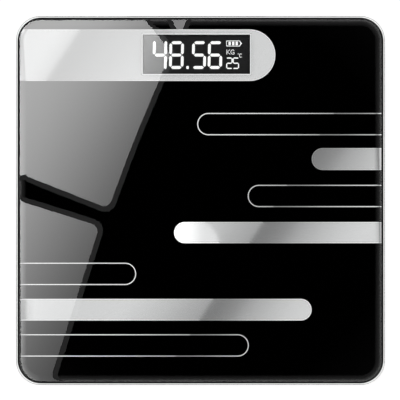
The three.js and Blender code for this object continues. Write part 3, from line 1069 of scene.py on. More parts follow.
@dataclass(frozen=True)
class Jacket(Finish):
    """A battery's shrink sleeve with a pale band at its positive end, and bare metal ends."""

    colour: Colour = (0.03, 0.075, 0.12)
    band: Colour = (0.62, 0.64, 0.66)
    metal: Colour = (0.66, 0.65, 0.62)
    band_from: float = 0.83

    def sockets(self, graph: Graph, effects: Effects) -> Feeds:
        """Sleeve, band and metal by how far along the cell a point is.

        Args:
            graph: The material's graph.
            effects: The shared node groups.

        Returns:
            What the surface's sockets take.
        """
        along = graph.add("ShaderNodeAttribute", attribute_name=Cell.ALONG).outputs["Fac"]
        bare = graph.add("ShaderNodeAttribute", attribute_name=Cell.BARE).outputs["Fac"]
        scuffs = graph.effect(effects.scuffs, Scale=120.0, Amount=0.4)
        sleeve = graph.blend(graph.math("GREATER_THAN", along, self.band_from), self.colour, self.band)
        rubbed = graph.blend(graph.times(scuffs["Mask"], 0.3), sleeve, self.band)
        return {
            "Base Color": graph.blend(bare, rubbed, self.metal),
            "Metallic": bare,
            "Roughness": graph.spread(scuffs["Mask"], 0.24, 0.45),
        }


# ---------------------------------------------------------------- repeating pieces


class Grower:
    """A Geometry Nodes tree with named inputs, run on base objects to make plain meshes."""

    KINDS = {float: "NodeSocketFloat", int: "NodeSocketInt", type(None): "NodeSocketObject"}

    def __init__(self, name: str, **inputs: float | int | None) -> None:
        """Opens a tree.

        Args:
            name: The tree's name.
            inputs: Each input's starting value, or None for an object.
        """
        self.tree = bpy.data.node_groups.new(name, "GeometryNodeTree")
        self.inputs = {}
        self._socket("Geometry", "NodeSocketGeometry")
        for key, value in inputs.items():
            socket = self._socket(key, self.KINDS[type(value)])
            if value is not None:
                socket.default_value = value
        self._socket("Material", "NodeSocketMaterial")
        self.tree.interface.new_socket("Geometry", in_out="OUTPUT", socket_type="NodeSocketGeometry")
        self.graph = Graph(self.tree)
        self.given = self.graph.add("NodeGroupInput").outputs

    def _socket(self, name: str, kind: str) -> bpy.types.NodeTreeInterfaceSocket:
        """Adds a named input to the tree."""
        self.inputs[name] = self.tree.interface.new_socket(name, in_out="INPUT", socket_type=kind)
        return self.inputs[name]

    def copies(self, points: Source, **more: Source) -> Node:
        """Copies of the Part input on points.

        Args:
            points: Where they stand.
            more: Further inputs of the copying node.

        Returns:
            The copies.
        """
        part = self.graph.add("GeometryNodeObjectInfo", {0: self.given["Part"]}).outputs["Geometry"]
        feeds = {"Points": points, "Instance": part, **more}
        return self.graph.add("GeometryNodeInstanceOnPoints", feeds)

    def close(self, *geometries: Source) -> "Grower":
        """Ends the tree with real geometry and its material.

        Args:
            geometries: What the tree has made.

        Returns:
            The grower.
        """
        joined = self.graph.add("GeometryNodeJoinGeometry")
        for geometry in geometries:
            self.graph.feed(joined.inputs[0], geometry)
        real = self.graph.add("GeometryNodeRealizeInstances", {"Geometry": joined})
        feeds = {"Geometry": real, "Material": self.given["Material"]}
        self.graph.add("NodeGroupOutput", {0: self.graph.add("GeometryNodeSetMaterial", feeds)})
        return self

    def grow(self, name: str, base: Object, **values: object) -> Object:
        """Runs the tree.

        Args:
            name: The new object's name.
            base: The object that carries the tree; it is used up.
            values: Inputs by name.

        Returns:
            A plain mesh object.
        """
        modifier = base.modifiers.new(self.tree.name, "NODES")
        modifier.node_group = self.tree
        for key, value in values.items():
            modifier[self.inputs[key].identifier] = value
        return plain(name, base)


def ribbon_grower() -> Grower:
    """A flat ribbon that follows a line of points.

    Returns:
        The grower.
    """
    made = Grower("ribbon", Width=0.0008, Thickness=0.00003)
    graph, given = made.graph, made.given
    path = graph.add("GeometryNodeMeshToCurve", {0: given["Geometry"]})
    upright = graph.add("GeometryNodeSetCurveNormal", {"Curve": path}, mode="Z_UP")
    size = {"Width": given["Width"], "Height": given["Thickness"]}
    section = graph.add("GeometryNodeCurvePrimitiveQuadrilateral", size)
    feeds = {"Curve": upright, "Profile Curve": section, "Fill Caps": True}
    return made.close(graph.add("GeometryNodeCurveToMesh", feeds))


def spoke_grower() -> Grower:
    """A body with copies of a part set in a ring about the Z axis.

    Returns:
        The grower.
    """
    made = Grower("spokes", Part=None, Count=8, Radius=0.01)
    graph, given = made.graph, made.given
    ring = graph.add("GeometryNodeMeshCircle", {"Vertices": given["Count"], "Radius": given["Radius"]})
    x, y, _ = graph.axes(graph.add("GeometryNodeInputPosition"))
    turned = graph.add("ShaderNodeCombineXYZ", {2: graph.math("ARCTAN2", y, x)})
    return made.close(given["Geometry"], made.copies(ring, Rotation=turned))


def stud_grower() -> Grower:
    """A body with round studs spread evenly over a flat ring, each turned on by the golden angle.

    Returns:
        The grower.
    """
    made = Grower("studs", Part=None, Count=90, Inner=0.01, Outer=0.02)
    graph, given = made.graph, made.given
    number = graph.add("GeometryNodeInputIndex")
    share = graph.math("DIVIDE", graph.math("ADD", number, 0.5), given["Count"])
    inner, outer = (graph.math("POWER", given[key], 2.0) for key in ("Inner", "Outer"))
    area = graph.math("ADD", inner, graph.times(graph.math("SUBTRACT", outer, inner), share))
    radius = graph.math("SQRT", area)
    turn = graph.times(number, GOLDEN_ANGLE)
    x, y = (graph.times(radius, graph.math(wave, turn)) for wave in ("COSINE", "SINE"))
    spot = graph.add("ShaderNodeCombineXYZ", {0: x, 1: y})
    spots = graph.add("GeometryNodePoints", {"Count": given["Count"], "Position": spot})
    return made.close(given["Geometry"], made.copies(spots))


def copies_grower() -> Grower:
    """Copies of a part at the points of the base mesh.

    Returns:
        The grower.
    """
    made = Grower("copies", Part=None)
    spots = made.graph.add("GeometryNodeMeshToPoints", {"Mesh": made.given["Geometry"]})
    return made.close(made.copies(spots))


def coil_grower() -> Grower:
    """A wire coil about the Z axis that narrows as it rises.

    Returns:
        The grower.
    """
    made = Grower("coil", Turns=4.0, Bottom=0.0026, Top=0.0019, Height=0.006, Wire=0.0003)
    graph, given = made.graph, made.given
    spiral = graph.add(
        "GeometryNodeCurveSpiral",
        {
            "Resolution": 36,
            "Rotations": given["Turns"],
            "Start Radius": given["Bottom"],
            "End Radius": given["Top"],
            "Height": given["Height"],
        },
    )
    section = graph.add("GeometryNodeCurvePrimitiveCircle", {"Resolution": 12, "Radius": given["Wire"]})
    feeds = {"Curve": spiral, "Profile Curve": section, "Fill Caps": True}
    wire = graph.add("GeometryNodeCurveToMesh", feeds)
    return made.close(graph.add("GeometryNodeSetShadeSmooth", {"Geometry": wire}))


# ---------------------------------------------------------------- the workshop


@dataclass
class Shop:
    """What every sub-assembly works with: the frame, the shared effects and the growers."""

    frame: dict
    effects: Effects = field(default_factory=Effects)

    def __post_init__(self) -> None:
        """Builds the Geometry Nodes trees."""
        self.ribbon = ribbon_grower()
        self.spokes = spoke_grower()
        self.studs = stud_grower()
        self.copies = copies_grower()
        self.coil = coil_grower()

    def paint(self, piece: Object, finish: Finish) -> None:
        """Gives a piece one finish all over."""
        piece.data.materials.clear()
        piece.data.materials.append(finish.material(self.effects))

    def mount(self, piece: Object, body: Body, finish: Finish, *nodes: str) -> None:
        """Finishes a piece, sets it on its body and hides the CAD nodes it stands for.

        Args:
            piece: The new mesh object.
            body: The CAD body it rides on.
            finish: Its finish, used if it has no material yet.
            nodes: CAD nodes that it replaces.
        """
        if not piece.data.materials:
            self.paint(piece, finish)
        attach(piece, body.value)
        if nodes:
            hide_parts(*nodes)
        LOG.info("%s rides %s, %d faces", piece.name, body.value, len(piece.data.polygons))

    def stroke(
        self, name: str, path: Sequence[Point], z: float, width: float, thickness: float, finish: Finish
    ) -> Object:
        """A flat line of print along a path.

        Args:
            name: The object's name.
            path: Points in millimetres; a closed line repeats its first point.
            z: Height of the line's middle.
            width: How wide the line is.
            thickness: How thick the print is.
            finish: Its finish.

        Returns:
            A plain mesh object.
        """
        closed = path[0] == path[-1]
        points = path[:-1] if closed else path
        last = len(points) - 1
        edges = [(i, i + 1) for i in range(last)] + [(last, 0)] * closed
        base = solid(name, [(x, y, z) for x, y in points], edges=edges)
        size = {"Width": width * MM, "Thickness": thickness * MM}
        return self.ribbon.grow(name, base, **size, Material=finish.material(self.effects))

    def dress(self, finish: Finish, *prefixes: str) -> None:
        """Gives a finish to every CAD node whose name starts with one of these.

        Args:
            finish: The finish.
            prefixes: How the nodes' names start.
        """
        for name, node in self.frame["nodes"].items():
            if name.startswith(prefixes):
                for holder in node.material_slots:
                    holder.material = finish.material(self.effects)
                LOG.info("%s takes %s", name, finish.name)


@dataclass
class Assembly:
    """A part of the scale that is made in the workshop."""

    shop: Shop

    def build(self) -> None:
        """Makes its pieces and dresses its nodes."""
        raise NotImplementedError


# ---------------------------------------------------------------- platform


@dataclass
class Platform(Assembly):
    """The toughened glass plate: a flat top, a gently domed margin and a steep rounded edge."""

    side: float = 280.0
    corner: float = 18.5
    bottom: float = 17.0
    top: float = 23.0
    arris: float = 0.6
    # (distance in from the edge, slope in degrees) along the top, from the flat outwards
    slopes: Stops = ((8, 0), (7.5, 0.8), (5.2, 3), (4.5, 4.5), (3.7, 7), (2.9, 11), (1.6, 25), (0.7, 40))
    step: float = 0.1
    margin: float = 0.6  # width of the last flat ring before the slope
    edge_steps: int = 8
    arris_steps: int = 6
    corner_steps: int = 24
    crease: float = 50.0  # edges sharper than this many degrees keep a hard line
    finish: Finish = ClearGlass("toughened_glass", Slot.GLASS)

    def slope(self, inset: float) -> float:
        """The slope of the top this far in from the edge, in degrees.

        Args:
            inset: Distance in from the edge.

        Returns:
            The slope.
        """
        for (outer, steep), (inner, gentle) in zip(self.slopes[1:], self.slopes):
            if inset >= outer:
                share = (inner - min(inset, inner)) / (inner - outer)
                return gentle + (steep - gentle) * share
        return self.slopes[-1][1]

    def profile(self) -> list[Point]:
        """(inset, z) pairs from the middle of the underside out, up the side and in over the top.

        Returns:
            The pairs.
        """
        first, last, steep = self.slopes[0][0], *self.slopes[-1]
        inset, z = first, self.top
        over = [(first + self.margin, z), (first, z)]
        for _ in range(round((first - last) / self.step)):
            z -= math.tan(math.radians(self.slope(inset - self.step / 2))) * self.step
            inset -= self.step
            over.append((inset, z))
        radius = last / (1 - math.sin(math.radians(steep)))
        centre = (radius, z - radius * math.cos(math.radians(steep)))
        over += arc(centre, radius, 90 + steep, 180, self.edge_steps)[1:]
        foot = arc((self.arris, self.bottom + self.arris), self.arris, -90, -180, self.arris_steps)
        return [(3 * self.arris, self.bottom), *foot, *reversed(over)]

    def build(self) -> None:
        """Makes the plate from rounded-square rings."""
        rings = []
        for inset, z in self.profile():
            side = self.side - 2 * inset
            outline = rounded_rect((0, 0), side, side, self.corner - inset, self.corner_steps)
            rings.append([(x, y, z) for x, y in outline])
        plate = smooth(loft("glass_plate", rings), math.radians(self.crease))
        self.shop.mount(plate, Body.PLATFORM, self.finish, "platform_glass")


# ---------------------------------------------------------------- print


class Side(Enum):
    """Which edge of the print a capsule runs off."""

    LEFT = -1
    RIGHT = 1


@dataclass(frozen=True)
class Capsule:
    """A round-ended bar that runs off one side of the print."""

    tip: float
    y: float
    side: Side
    filled: bool
    radius: float = 8.45


@dataclass
class BackPrint(Assembly):
    """Black ink with silver mirror bars on the back of the glass, and the display's clear window."""

    edge: float = 137.86  # half the width of the black ink
    corner: float = 16.4
    reach: float = 136.95  # where the silver stops
    back: float = 16.75
    ink_top: float = 17.03
    silver_top: float = 17.06
    bite: float = 0.02  # how deep the silver sits in the ink
    line: float = 0.72
    gap: float = 0.05  # black hairline between a bar and its outline
    window: tuple[float, float, float, float] = (-3.1, 111.13, 81.55, 29.87)  # its middle and size
    window_line: float = 0.9
    window_black: float = 0.45
    band_y: float = 110.42
    band_half: float = 19.58
    band_end: float = 37.3
    bars: tuple[Capsule, ...] = (
        Capsule(-2.5, 58.05, Side.RIGHT, False),
        Capsule(84.45, 31.5, Side.RIGHT, True, 8.33),
        Capsule(35.9, 3.45, Side.RIGHT, False),
        Capsule(-20.1, -24.39, Side.RIGHT, True, 8.05),
        Capsule(-48.9, -55.75, Side.LEFT, False),
        Capsule(84.45, -82.95, Side.LEFT, True, 8.25),
        Capsule(36.7, -110.1, Side.LEFT, False),
    )
    # (place along X, how much of the silver's colour is kept) at the left edge: painted shade that darkens
    # the silver there
    bar_edge_shade: Stops = (
        (-137, 0.24), (-135, 0.28), (-133.5, 0.49), (-132, 0.74), (-131, 0.86), (-126, 1),
    )
    band_edge_shade: Stops = ((-136.6, 0.62), (-135.7, 0.74), (-135, 0.89), (-134, 1))
    ink: Finish = Ink("black_ink", Slot.PRINT)
    paint: Finish = Painted("print_backing", Slot.PRINT)
    fill: Finish = MirrorInk("mirror_ink", Slot.PRINT, painted_edge_shade=bar_edge_shade)
    wide: Finish = MirrorInk("mirror_ink_band", Slot.PRINT, painted_edge_shade=band_edge_shade)
    bright: Finish = MirrorInk(
        "mirror_ink_line", Slot.PRINT, colour=(0.985, 0.985, 0.99), roughness=0.01
    )

    def build(self) -> None:
        """Makes the ink sheet, the silver bars and their outlines."""
        self._sheet()
        self._silver()
        self._lines()

    @property
    def _silver_low(self) -> float:
        """The underside of the silver."""
        return self.ink_top - self.bite

    @property
    def _shoulder(self) -> tuple[float, float]:
        """The radius of the silver's corners, and how far their centres stand from the middle."""
        radius = self.corner - (self.edge - self.reach)
        return radius, self.reach - radius

    def _pane(self, grown: float, radius: float, steps: int) -> list[Point]:
        """The outline of the display's window, this much wider and higher."""
        x, y, width, height = self.window
        return rounded_rect((x, y), width + grown, height + grown, radius, steps)

    def _sheet(self) -> None:
        """The black sheet, with paint on its bare back."""
        rim = rounded_rect((0, 0), 2 * self.edge, 2 * self.edge, self.corner, steps=24)
        hole = self._pane(-2 * self.window_black, radius=0.4, steps=3)
        sheet = slab("print_sheet", [rim, hole], self.back, self.ink_top)
        self.shop.paint(sheet, self.ink)
        sheet.data.materials.append(self.paint.material(self.shop.effects))
        for face in sheet.data.polygons:
            face.material_index = int(face.normal.z < -0.5)
        self.shop.mount(sheet, Body.PLATFORM, self.ink, "printed_film")

    def _bar(self, bar: Capsule, inset: float) -> list[Point]:
        """The open outline of a bar, inset from its border, from its cut end round its tip and back.

        Args:
            bar: The bar.
            inset: How far in.

        Returns:
            The outline.
        """
        toward = bar.side.value
        r = bar.radius - inset
        start = 90 if toward > 0 else -90
        tip = arc((bar.tip + toward * bar.radius, bar.y), r, start, start + 180, steps=20)
        cut = toward * self.reach
        return [(cut, bar.y + toward * r), *tip, (cut, bar.y - toward * r)]

    def _band(self, inset: float) -> list[Point]:
        """The open outline of the display band, from the lower left round its end to the upper left.

        Args:
            inset: How far in from its border.

        Returns:
            The outline.
        """
        r = self.band_half - inset
        tip = arc((self.band_end, self.band_y), r, -90, 90, steps=32)
        corner, centre = self._shoulder
        rise = self.band_y + r - centre
        left = -centre - math.sqrt(corner**2 - rise**2)
        return [(-self.reach, self.band_y - r), *tip, (left, self.band_y + r)]

    def _silver(self) -> None:
        """The mirror-filled bars and band."""
        inset = self.line + self.gap
        corner, centre = self._shoulder
        rise = math.degrees(math.asin((self.band_y + self.band_half - inset - centre) / corner))
        shoulder = arc((-centre, centre), corner, 180 - rise, 180, steps=8)
        hole = self._pane(2 * (self.window_line + self.gap), radius=0.5, steps=3)
        bars = [self._bar(bar, inset) for bar in self.bars if bar.filled]
        for name, shapes, finish in (
            ("print_band", [self._band(inset)[:-1] + shoulder, hole], self.wide),
            ("print_silver", bars, self.fill),
        ):
            self.shop.mount(slab(name, shapes, self._silver_low, self.silver_top), Body.PLATFORM, finish)

    def _lines(self) -> None:
        """The bright outlines, swept along their paths."""
        border = self._pane(self.window_line, radius=0.6, steps=4)
        paths = [(self._bar(bar, self.line / 2), self.line) for bar in self.bars]
        paths.append((self._band(self.line / 2), self.line))
        paths.append((border + border[:1], self.window_line))
        middle = (self._silver_low + self.silver_top) / 2
        thickness = self.silver_top - self._silver_low
        ribbons = [
            self.shop.stroke(f"line_{n}", path, middle, width, thickness, self.bright)
            for n, (path, width) in enumerate(paths)
        ]
        self.shop.mount(smooth(weld(merged("print_lines", ribbons))), Body.PLATFORM, self.bright)


# ---------------------------------------------------------------- display

SEGMENTS = {"2": "abged", "4": "fgbc", "5": "afgcd", "6": "afgedc", "8": "abcdefg"}
CORNERS = {  # the two corners that each segment joins
    "a": ("top left", "top right"),
    "b": ("middle right", "top right"),
    "c": ("bottom right", "middle right"),
    "d": ("bottom left", "bottom right"),
    "e": ("bottom left", "middle left"),
    "f": ("middle left", "top left"),
    "g": ("middle left", "middle right"),
}


@dataclass(frozen=True)
class Digit:
    """One seven-segment figure: its lower left corner, size, strokes and lean."""

    figure: str
    x: float
    width: float
    y: float
    height: float
    upright: float  # stroke of the upright segments
    level: float  # stroke of the level segments
    gap: float
    lean: float = 0.0
    reach: float = 0.6  # how far a free upright end reaches out, in level strokes
    softness: float = 0.05  # corner radius, in strokes

    def bars(self) -> list[list[Point]]:
        """The six-sided outline of each lit segment."""
        return [self._segment(key) for key in SEGMENTS[self.figure]]

    def _corner(self, name: str) -> Vector:
        """A corner of the figure's centre line.

        Args:
            name: The corner's row and side.

        Returns:
            Its place in the figure.
        """
        row, side = name.split()
        x = self.upright / 2 if side == "left" else self.width - self.upright / 2
        low, high = self.level / 2, self.height - self.level / 2
        return Vector((x, {"bottom": low, "middle": self.height / 2, "top": high}[row]))

    def _segment(self, key: str) -> list[Point]:
        """A bar with pointed ends; an upright end that meets no lit segment reaches further out.

        Args:
            key: The segment's letter.

        Returns:
            Its outline.
        """
        flat = key in "adg"
        stroke, reach = (self.level, 0.0) if flat else (self.upright, self.reach * self.level)
        others = [CORNERS[k] for k in SEGMENTS[self.figure] if k != key]
        names = CORNERS[key]
        a, b = (self._corner(name) for name in names)
        along = (b - a).normalized()
        across = Vector((-along.y, along.x)) * stroke / 2
        runs = [self.gap if any(name in pair for pair in others) else -reach for name in names]
        a += along * runs[0]
        b -= along * runs[1]
        near, far = a + along * stroke / 2, b - along * stroke / 2
        corners = [a, near - across, far - across, b, far + across, near + across]
        placed = [(self.x + c.x + self.lean * (c.y - self.height / 2), self.y + c.y) for c in corners]
        return fillet(placed, stroke * self.softness, closed=True, steps=2)


@dataclass(frozen=True)
class Battery:
    """The battery symbol: a shell with a nub at its right end, and charge bars inside."""

    left: float = 22.35
    right: float = 32.8
    low: float = 6.36
    high: float = 10.78
    wall: float = 0.45
    shoulder: float = 0.75  # how far the shell runs in to its nub
    nub: float = 1.4
    nub_half: float = 0.5
    first: float = 24.97  # middle of the first bar
    pitch: float = 2.69
    bars: int = 3
    bar: float = 1.75
    clear: float = 1.6  # the shell's height less a bar's

    def outlines(self) -> list[list[Point]]:
        """The shell, the hole in it and the bars.

        Returns:
            The closed outlines.
        """
        middle = (self.low + self.high) / 2
        turn = self.right + self.shoulder
        tip = (self.right + self.nub, middle - self.nub_half)
        floor = [(self.left, self.low), (self.right, self.low)]
        lower = [*floor, (turn, middle - self.shoulder), tip]
        upper = [(x, 2 * middle - y) for x, y in reversed(lower)]
        hole = [*floor, (turn, middle), (self.right, self.high), (self.left, self.high)]
        shell = [
            fillet(lower + upper, radius=0.8, closed=True),
            fillet(offset(hole, -self.wall), radius=0.9, closed=True),
        ]
        centres = [(self.first + self.pitch * n, middle) for n in range(self.bars)]
        height = self.high - self.low - self.clear
        bars = [rounded_rect(centre, self.bar, height, radius=0.25, steps=2) for centre in centres]
        return shell + bars


# what the large and the small figures share
LARGE = {"y": -10.8, "height": 21.1, "upright": 2.1, "level": 2.25, "gap": 0.42, "lean": 0.022}
SMALL = {"width": 4.85, "y": -10.8, "height": 8.75, "upright": 0.85, "level": 0.88, "gap": 0.12}


@dataclass
class Display(Assembly):
    """The lit figures and legends on the display glass, and the module's parts behind them."""

    centre: Point = (-2.8, 110.75)
    face: float = 16.65
    film: float = 0.03
    figures: tuple[Digit, ...] = (
        Digit("4", x=-33.5, width=10.8, **LARGE),
        Digit("8", x=-20.97, width=11.0, **LARGE),
        Digit("5", x=-3.7, width=10.75, **LARGE),
        Digit("6", x=8.4, width=10.9, **LARGE),
        Digit("2", x=22.3, **SMALL),
        Digit("5", x=27.25, **SMALL),
    )
    point: tuple[float, float, float, float] = (-7.97, -10.8, 1.9, 2.2)  # its lower left corner and size
    battery: Battery = Battery()
    bold: float = 0.42
    light: float = 0.4
    fine: float = 0.2
    lit: Finish = LitFigure("lit_figures", Slot.DISPLAY)
    front: Finish = Polariser("polariser_front", Slot.DISPLAY, glow=0.004, centre=centre, size=(77.4, 26.6))
    rear: Finish = Polariser("polariser_rear", Slot.DISPLAY)
    guide: Finish = Cast("light_guide", Slot.GUIDE, colour=(0.86, 0.87, 0.85), roughness=0.2)
    zebra: Finish = Moulded("zebra_rubber", Slot.ZEBRA, colour=(0.42, 0.36, 0.33), roughness=0.6)

    def build(self) -> None:
        """Makes the figures and dresses the display module."""
        figures = merged("display_figures", [self._shapes(), *self._legends()])
        place(figures, Matrix.Translation((self.centre[0] * MM, self.centre[1] * MM, 0)))
        self.shop.mount(figures, Body.PLATFORM, self.lit)
        self.shop.dress(self.front, "lcd_front_glass")
        self.shop.dress(self.rear, "lcd_rear_glass")
        self.shop.dress(self.guide, "backlight_panel")
        self.shop.dress(self.zebra, "zebra_connector")

    def _shapes(self) -> Object:
        """Digits, the decimal point and the battery symbol.

        Returns:
            The object, made about the origin.
        """
        x, y, width, height = self.point
        middle = (x + width / 2, y + height / 2)
        outlines = [bar for digit in self.figures for bar in digit.bars()]
        outlines.append(rounded_rect(middle, width, height, radius=0.3, steps=3))
        outlines += self.battery.outlines()
        return slab("figure_shapes", outlines, self.face, self.face + self.film)

    def _legends(self) -> list[Object]:
        """The unit legends, drawn with thin strokes: two letters, and a degree ring with its letter.

        Returns:
            An object for each stroke, made about the origin.
        """
        upright = [(22.8, 0.25), (22.8, 4.0)]
        arms = [(25.2, 3.9), (23.2, 2.1), (25.4, 0.3)]
        bowl = [(28.4, 3.1), (27.9, 3.7), (26.8, 3.7), (25.9, 2.7), (25.9, 1.4), (26.8, 0.45)]
        bar = [(28.4, 0.45), (28.4, 1.9), (27.3, 1.9)]
        ring = arc((31.5, 0.6), 0.3, 0, 342, steps=19)
        hook = [(34.2, 0.45), (33.5, 0.7), (32.5, 0.5), (32.5, -1.8), (33.4, -1.95), (34.1, -1.7)]
        strokes = [
            (upright, self.bold),
            (arms, self.bold),
            (fillet(bowl + bar, radius=0.5), self.bold),
            (ring + ring[:1], self.fine),
            (fillet(hook, radius=0.8), self.light),
        ]
        middle = self.face + self.film / 2
        return [
            self.shop.stroke(f"legend_{n}", path, middle, width, self.film, self.lit)
            for n, (path, width) in enumerate(strokes)
        ]


# ---------------------------------------------------------------- feet


@dataclass
class Foot(Assembly):
    """One load-cell foot: a ribbed cup under the glass, the pressed foot plate and its rubber pad."""

    IN_PLACE = 1e-5  # ring radius in metres for parts that are made at their own place

    body: Body  # of the pressed part
    x: float
    y: float
    turn: float = 0.0
    cup: Profile = (
        (0, 14), (26.6, 14), (26.6, 6.2), (23.2, 6.2), (23.2, 5), (27.2, 5), (27.9, 5.9),
        (28.5, 14.6), (29, 14.75), (29, 16.05), (0, 16.05),
    )
    bowl: Profile = (
        (0, 3.2), (22.2, 3.2), (22.6, 3.6), (22.6, 7.2), (25.4, 7.2), (25.4, 8.4),
        (20.6, 8.4), (20.6, 4.8), (6, 4.8), (5.4, 8.4), (4, 9.7), (0, 9.7),
    )
    pad: Profile = (
        (0, 0.8), (8.3, 0.8), (9.0, 0.3), (20.9, 0.3), (21.5, 0.9), (21.8, 1.6), (21.8, 3.15), (0, 3.15),
    )
    stud: Profile = ((0, 0), (0.62, 0), (0.75, 0.5), (0, 0.5))
    cup_ribs: int = 36
    rib_half: float = 0.5
    rib_depth: float = 1.2
    rib_wall: Stops = ((6.3, 28.25), (14.7, 28.95))  # the ribs' outside, (height, radius)
    plate_ribs: int = 8
    plate_rib: Profile = ((5, 4.7), (20.8, 7.8))  # opposite corners, (radius, z)
    studs: int = 84
    tread: Point = (9.6, 20.1)  # inner and outer radius of the studded ring
    housing: Finish = Moulded("housing_abs", Slot.HOUSING, colour=(0.016, 0.016, 0.018), roughness=0.42)
    rubber: Finish = Moulded(
        "pad_rubber",
        Slot.PAD,
        colour=(0.085, 0.086, 0.09),
        roughness=0.75,
        grain=1800,
        depth=0.02,
        worn=0.5,
        dusty=0.2,
        specular=0.3,
    )

    def build(self) -> None:
        """Makes the three turned pieces of this foot."""
        self._cup()
        self._plate()
        self._pad()

    def _set(
        self,
        grower: Grower,
        parts: Sequence[Object],
        names: tuple[str, str],
        body: Body,
        finish: Finish,
        **values: float,
    ) -> None:
        """Grows a piece about the origin, moves it to this foot's axis and mounts it.

        Args:
            grower: The tree that sets copies of the part on the base.
            parts: The base and the part; both are used up.
            names: The piece's name and its CAD node's, without the foot's own.
            body: The CAD body it rides on.
            finish: Its finish.
            values: Further inputs of the tree.
        """
        base, part = parts
        piece, node = (f"{name}_{self.body.value.removeprefix('foot_')}" for name in names)
        made = grower.grow(piece, base, Part=part, Material=finish.material(self.shop.effects), **values)
        bpy.data.objects.remove(part)
        there = Matrix.Translation((self.x * MM, self.y * MM, 0))
        place(made, there @ Matrix.Rotation(math.radians(self.turn), 4, "Z"))
        self.shop.mount(made, body, finish, node)

    def _cup(self) -> None:
        """The housing: an open cup with fine upright ribs round its wall."""
        cup = revolve("cup", fillet(self.cup, radius=0.35), sides=120)
        half = self.rib_half
        rings = []
        for z, outer in self.rib_wall:
            inner = outer - self.rib_depth
            rings.append([(inner, -half, z), (outer, -half, z), (outer, half, z), (inner, half, z)])
        rib = rounded_edges(loft("rib", rings), width=0.18, segments=2)
        ribs = {"Count": self.cup_ribs, "Radius": self.IN_PLACE}
        names = ("housing", "foot_housing")
        self._set(self.shop.spokes, (cup, rib), names, Body.PLATFORM, self.housing, **ribs)

    def _plate(self) -> None:
        """The pressed plate: a flanged bowl with its boss and ribs."""
        bowl = revolve("bowl", fillet(self.bowl, radius=0.3), sides=96)
        (inner, low), (outer, high) = self.plate_rib
        rib = box("rib", (inner, -self.rib_half, low), (outer, self.rib_half, high))
        ribs = {"Count": self.plate_ribs, "Radius": self.IN_PLACE}
        names = ("plate", "foot_plate")
        self._set(self.shop.spokes, (bowl, rib), names, self.body, self.housing, **ribs)

    def _pad(self) -> None:
        """The rubber pad with a studded tread ring."""
        pad = revolve("pad", fillet(self.pad, radius=0.3), sides=96)
        stud = revolve("stud", fillet(self.stud, radius=0.12, steps=1), sides=12)
        studs = {"Count": self.studs, "Inner": self.tread[0] * MM, "Outer": self.tread[1] * MM}
        names = ("pad", "rubber_pad")
        self._set(self.shop.studs, (pad, stud), names, self.body, self.rubber, **studs)


# ---------------------------------------------------------------- case, wiring and electronics


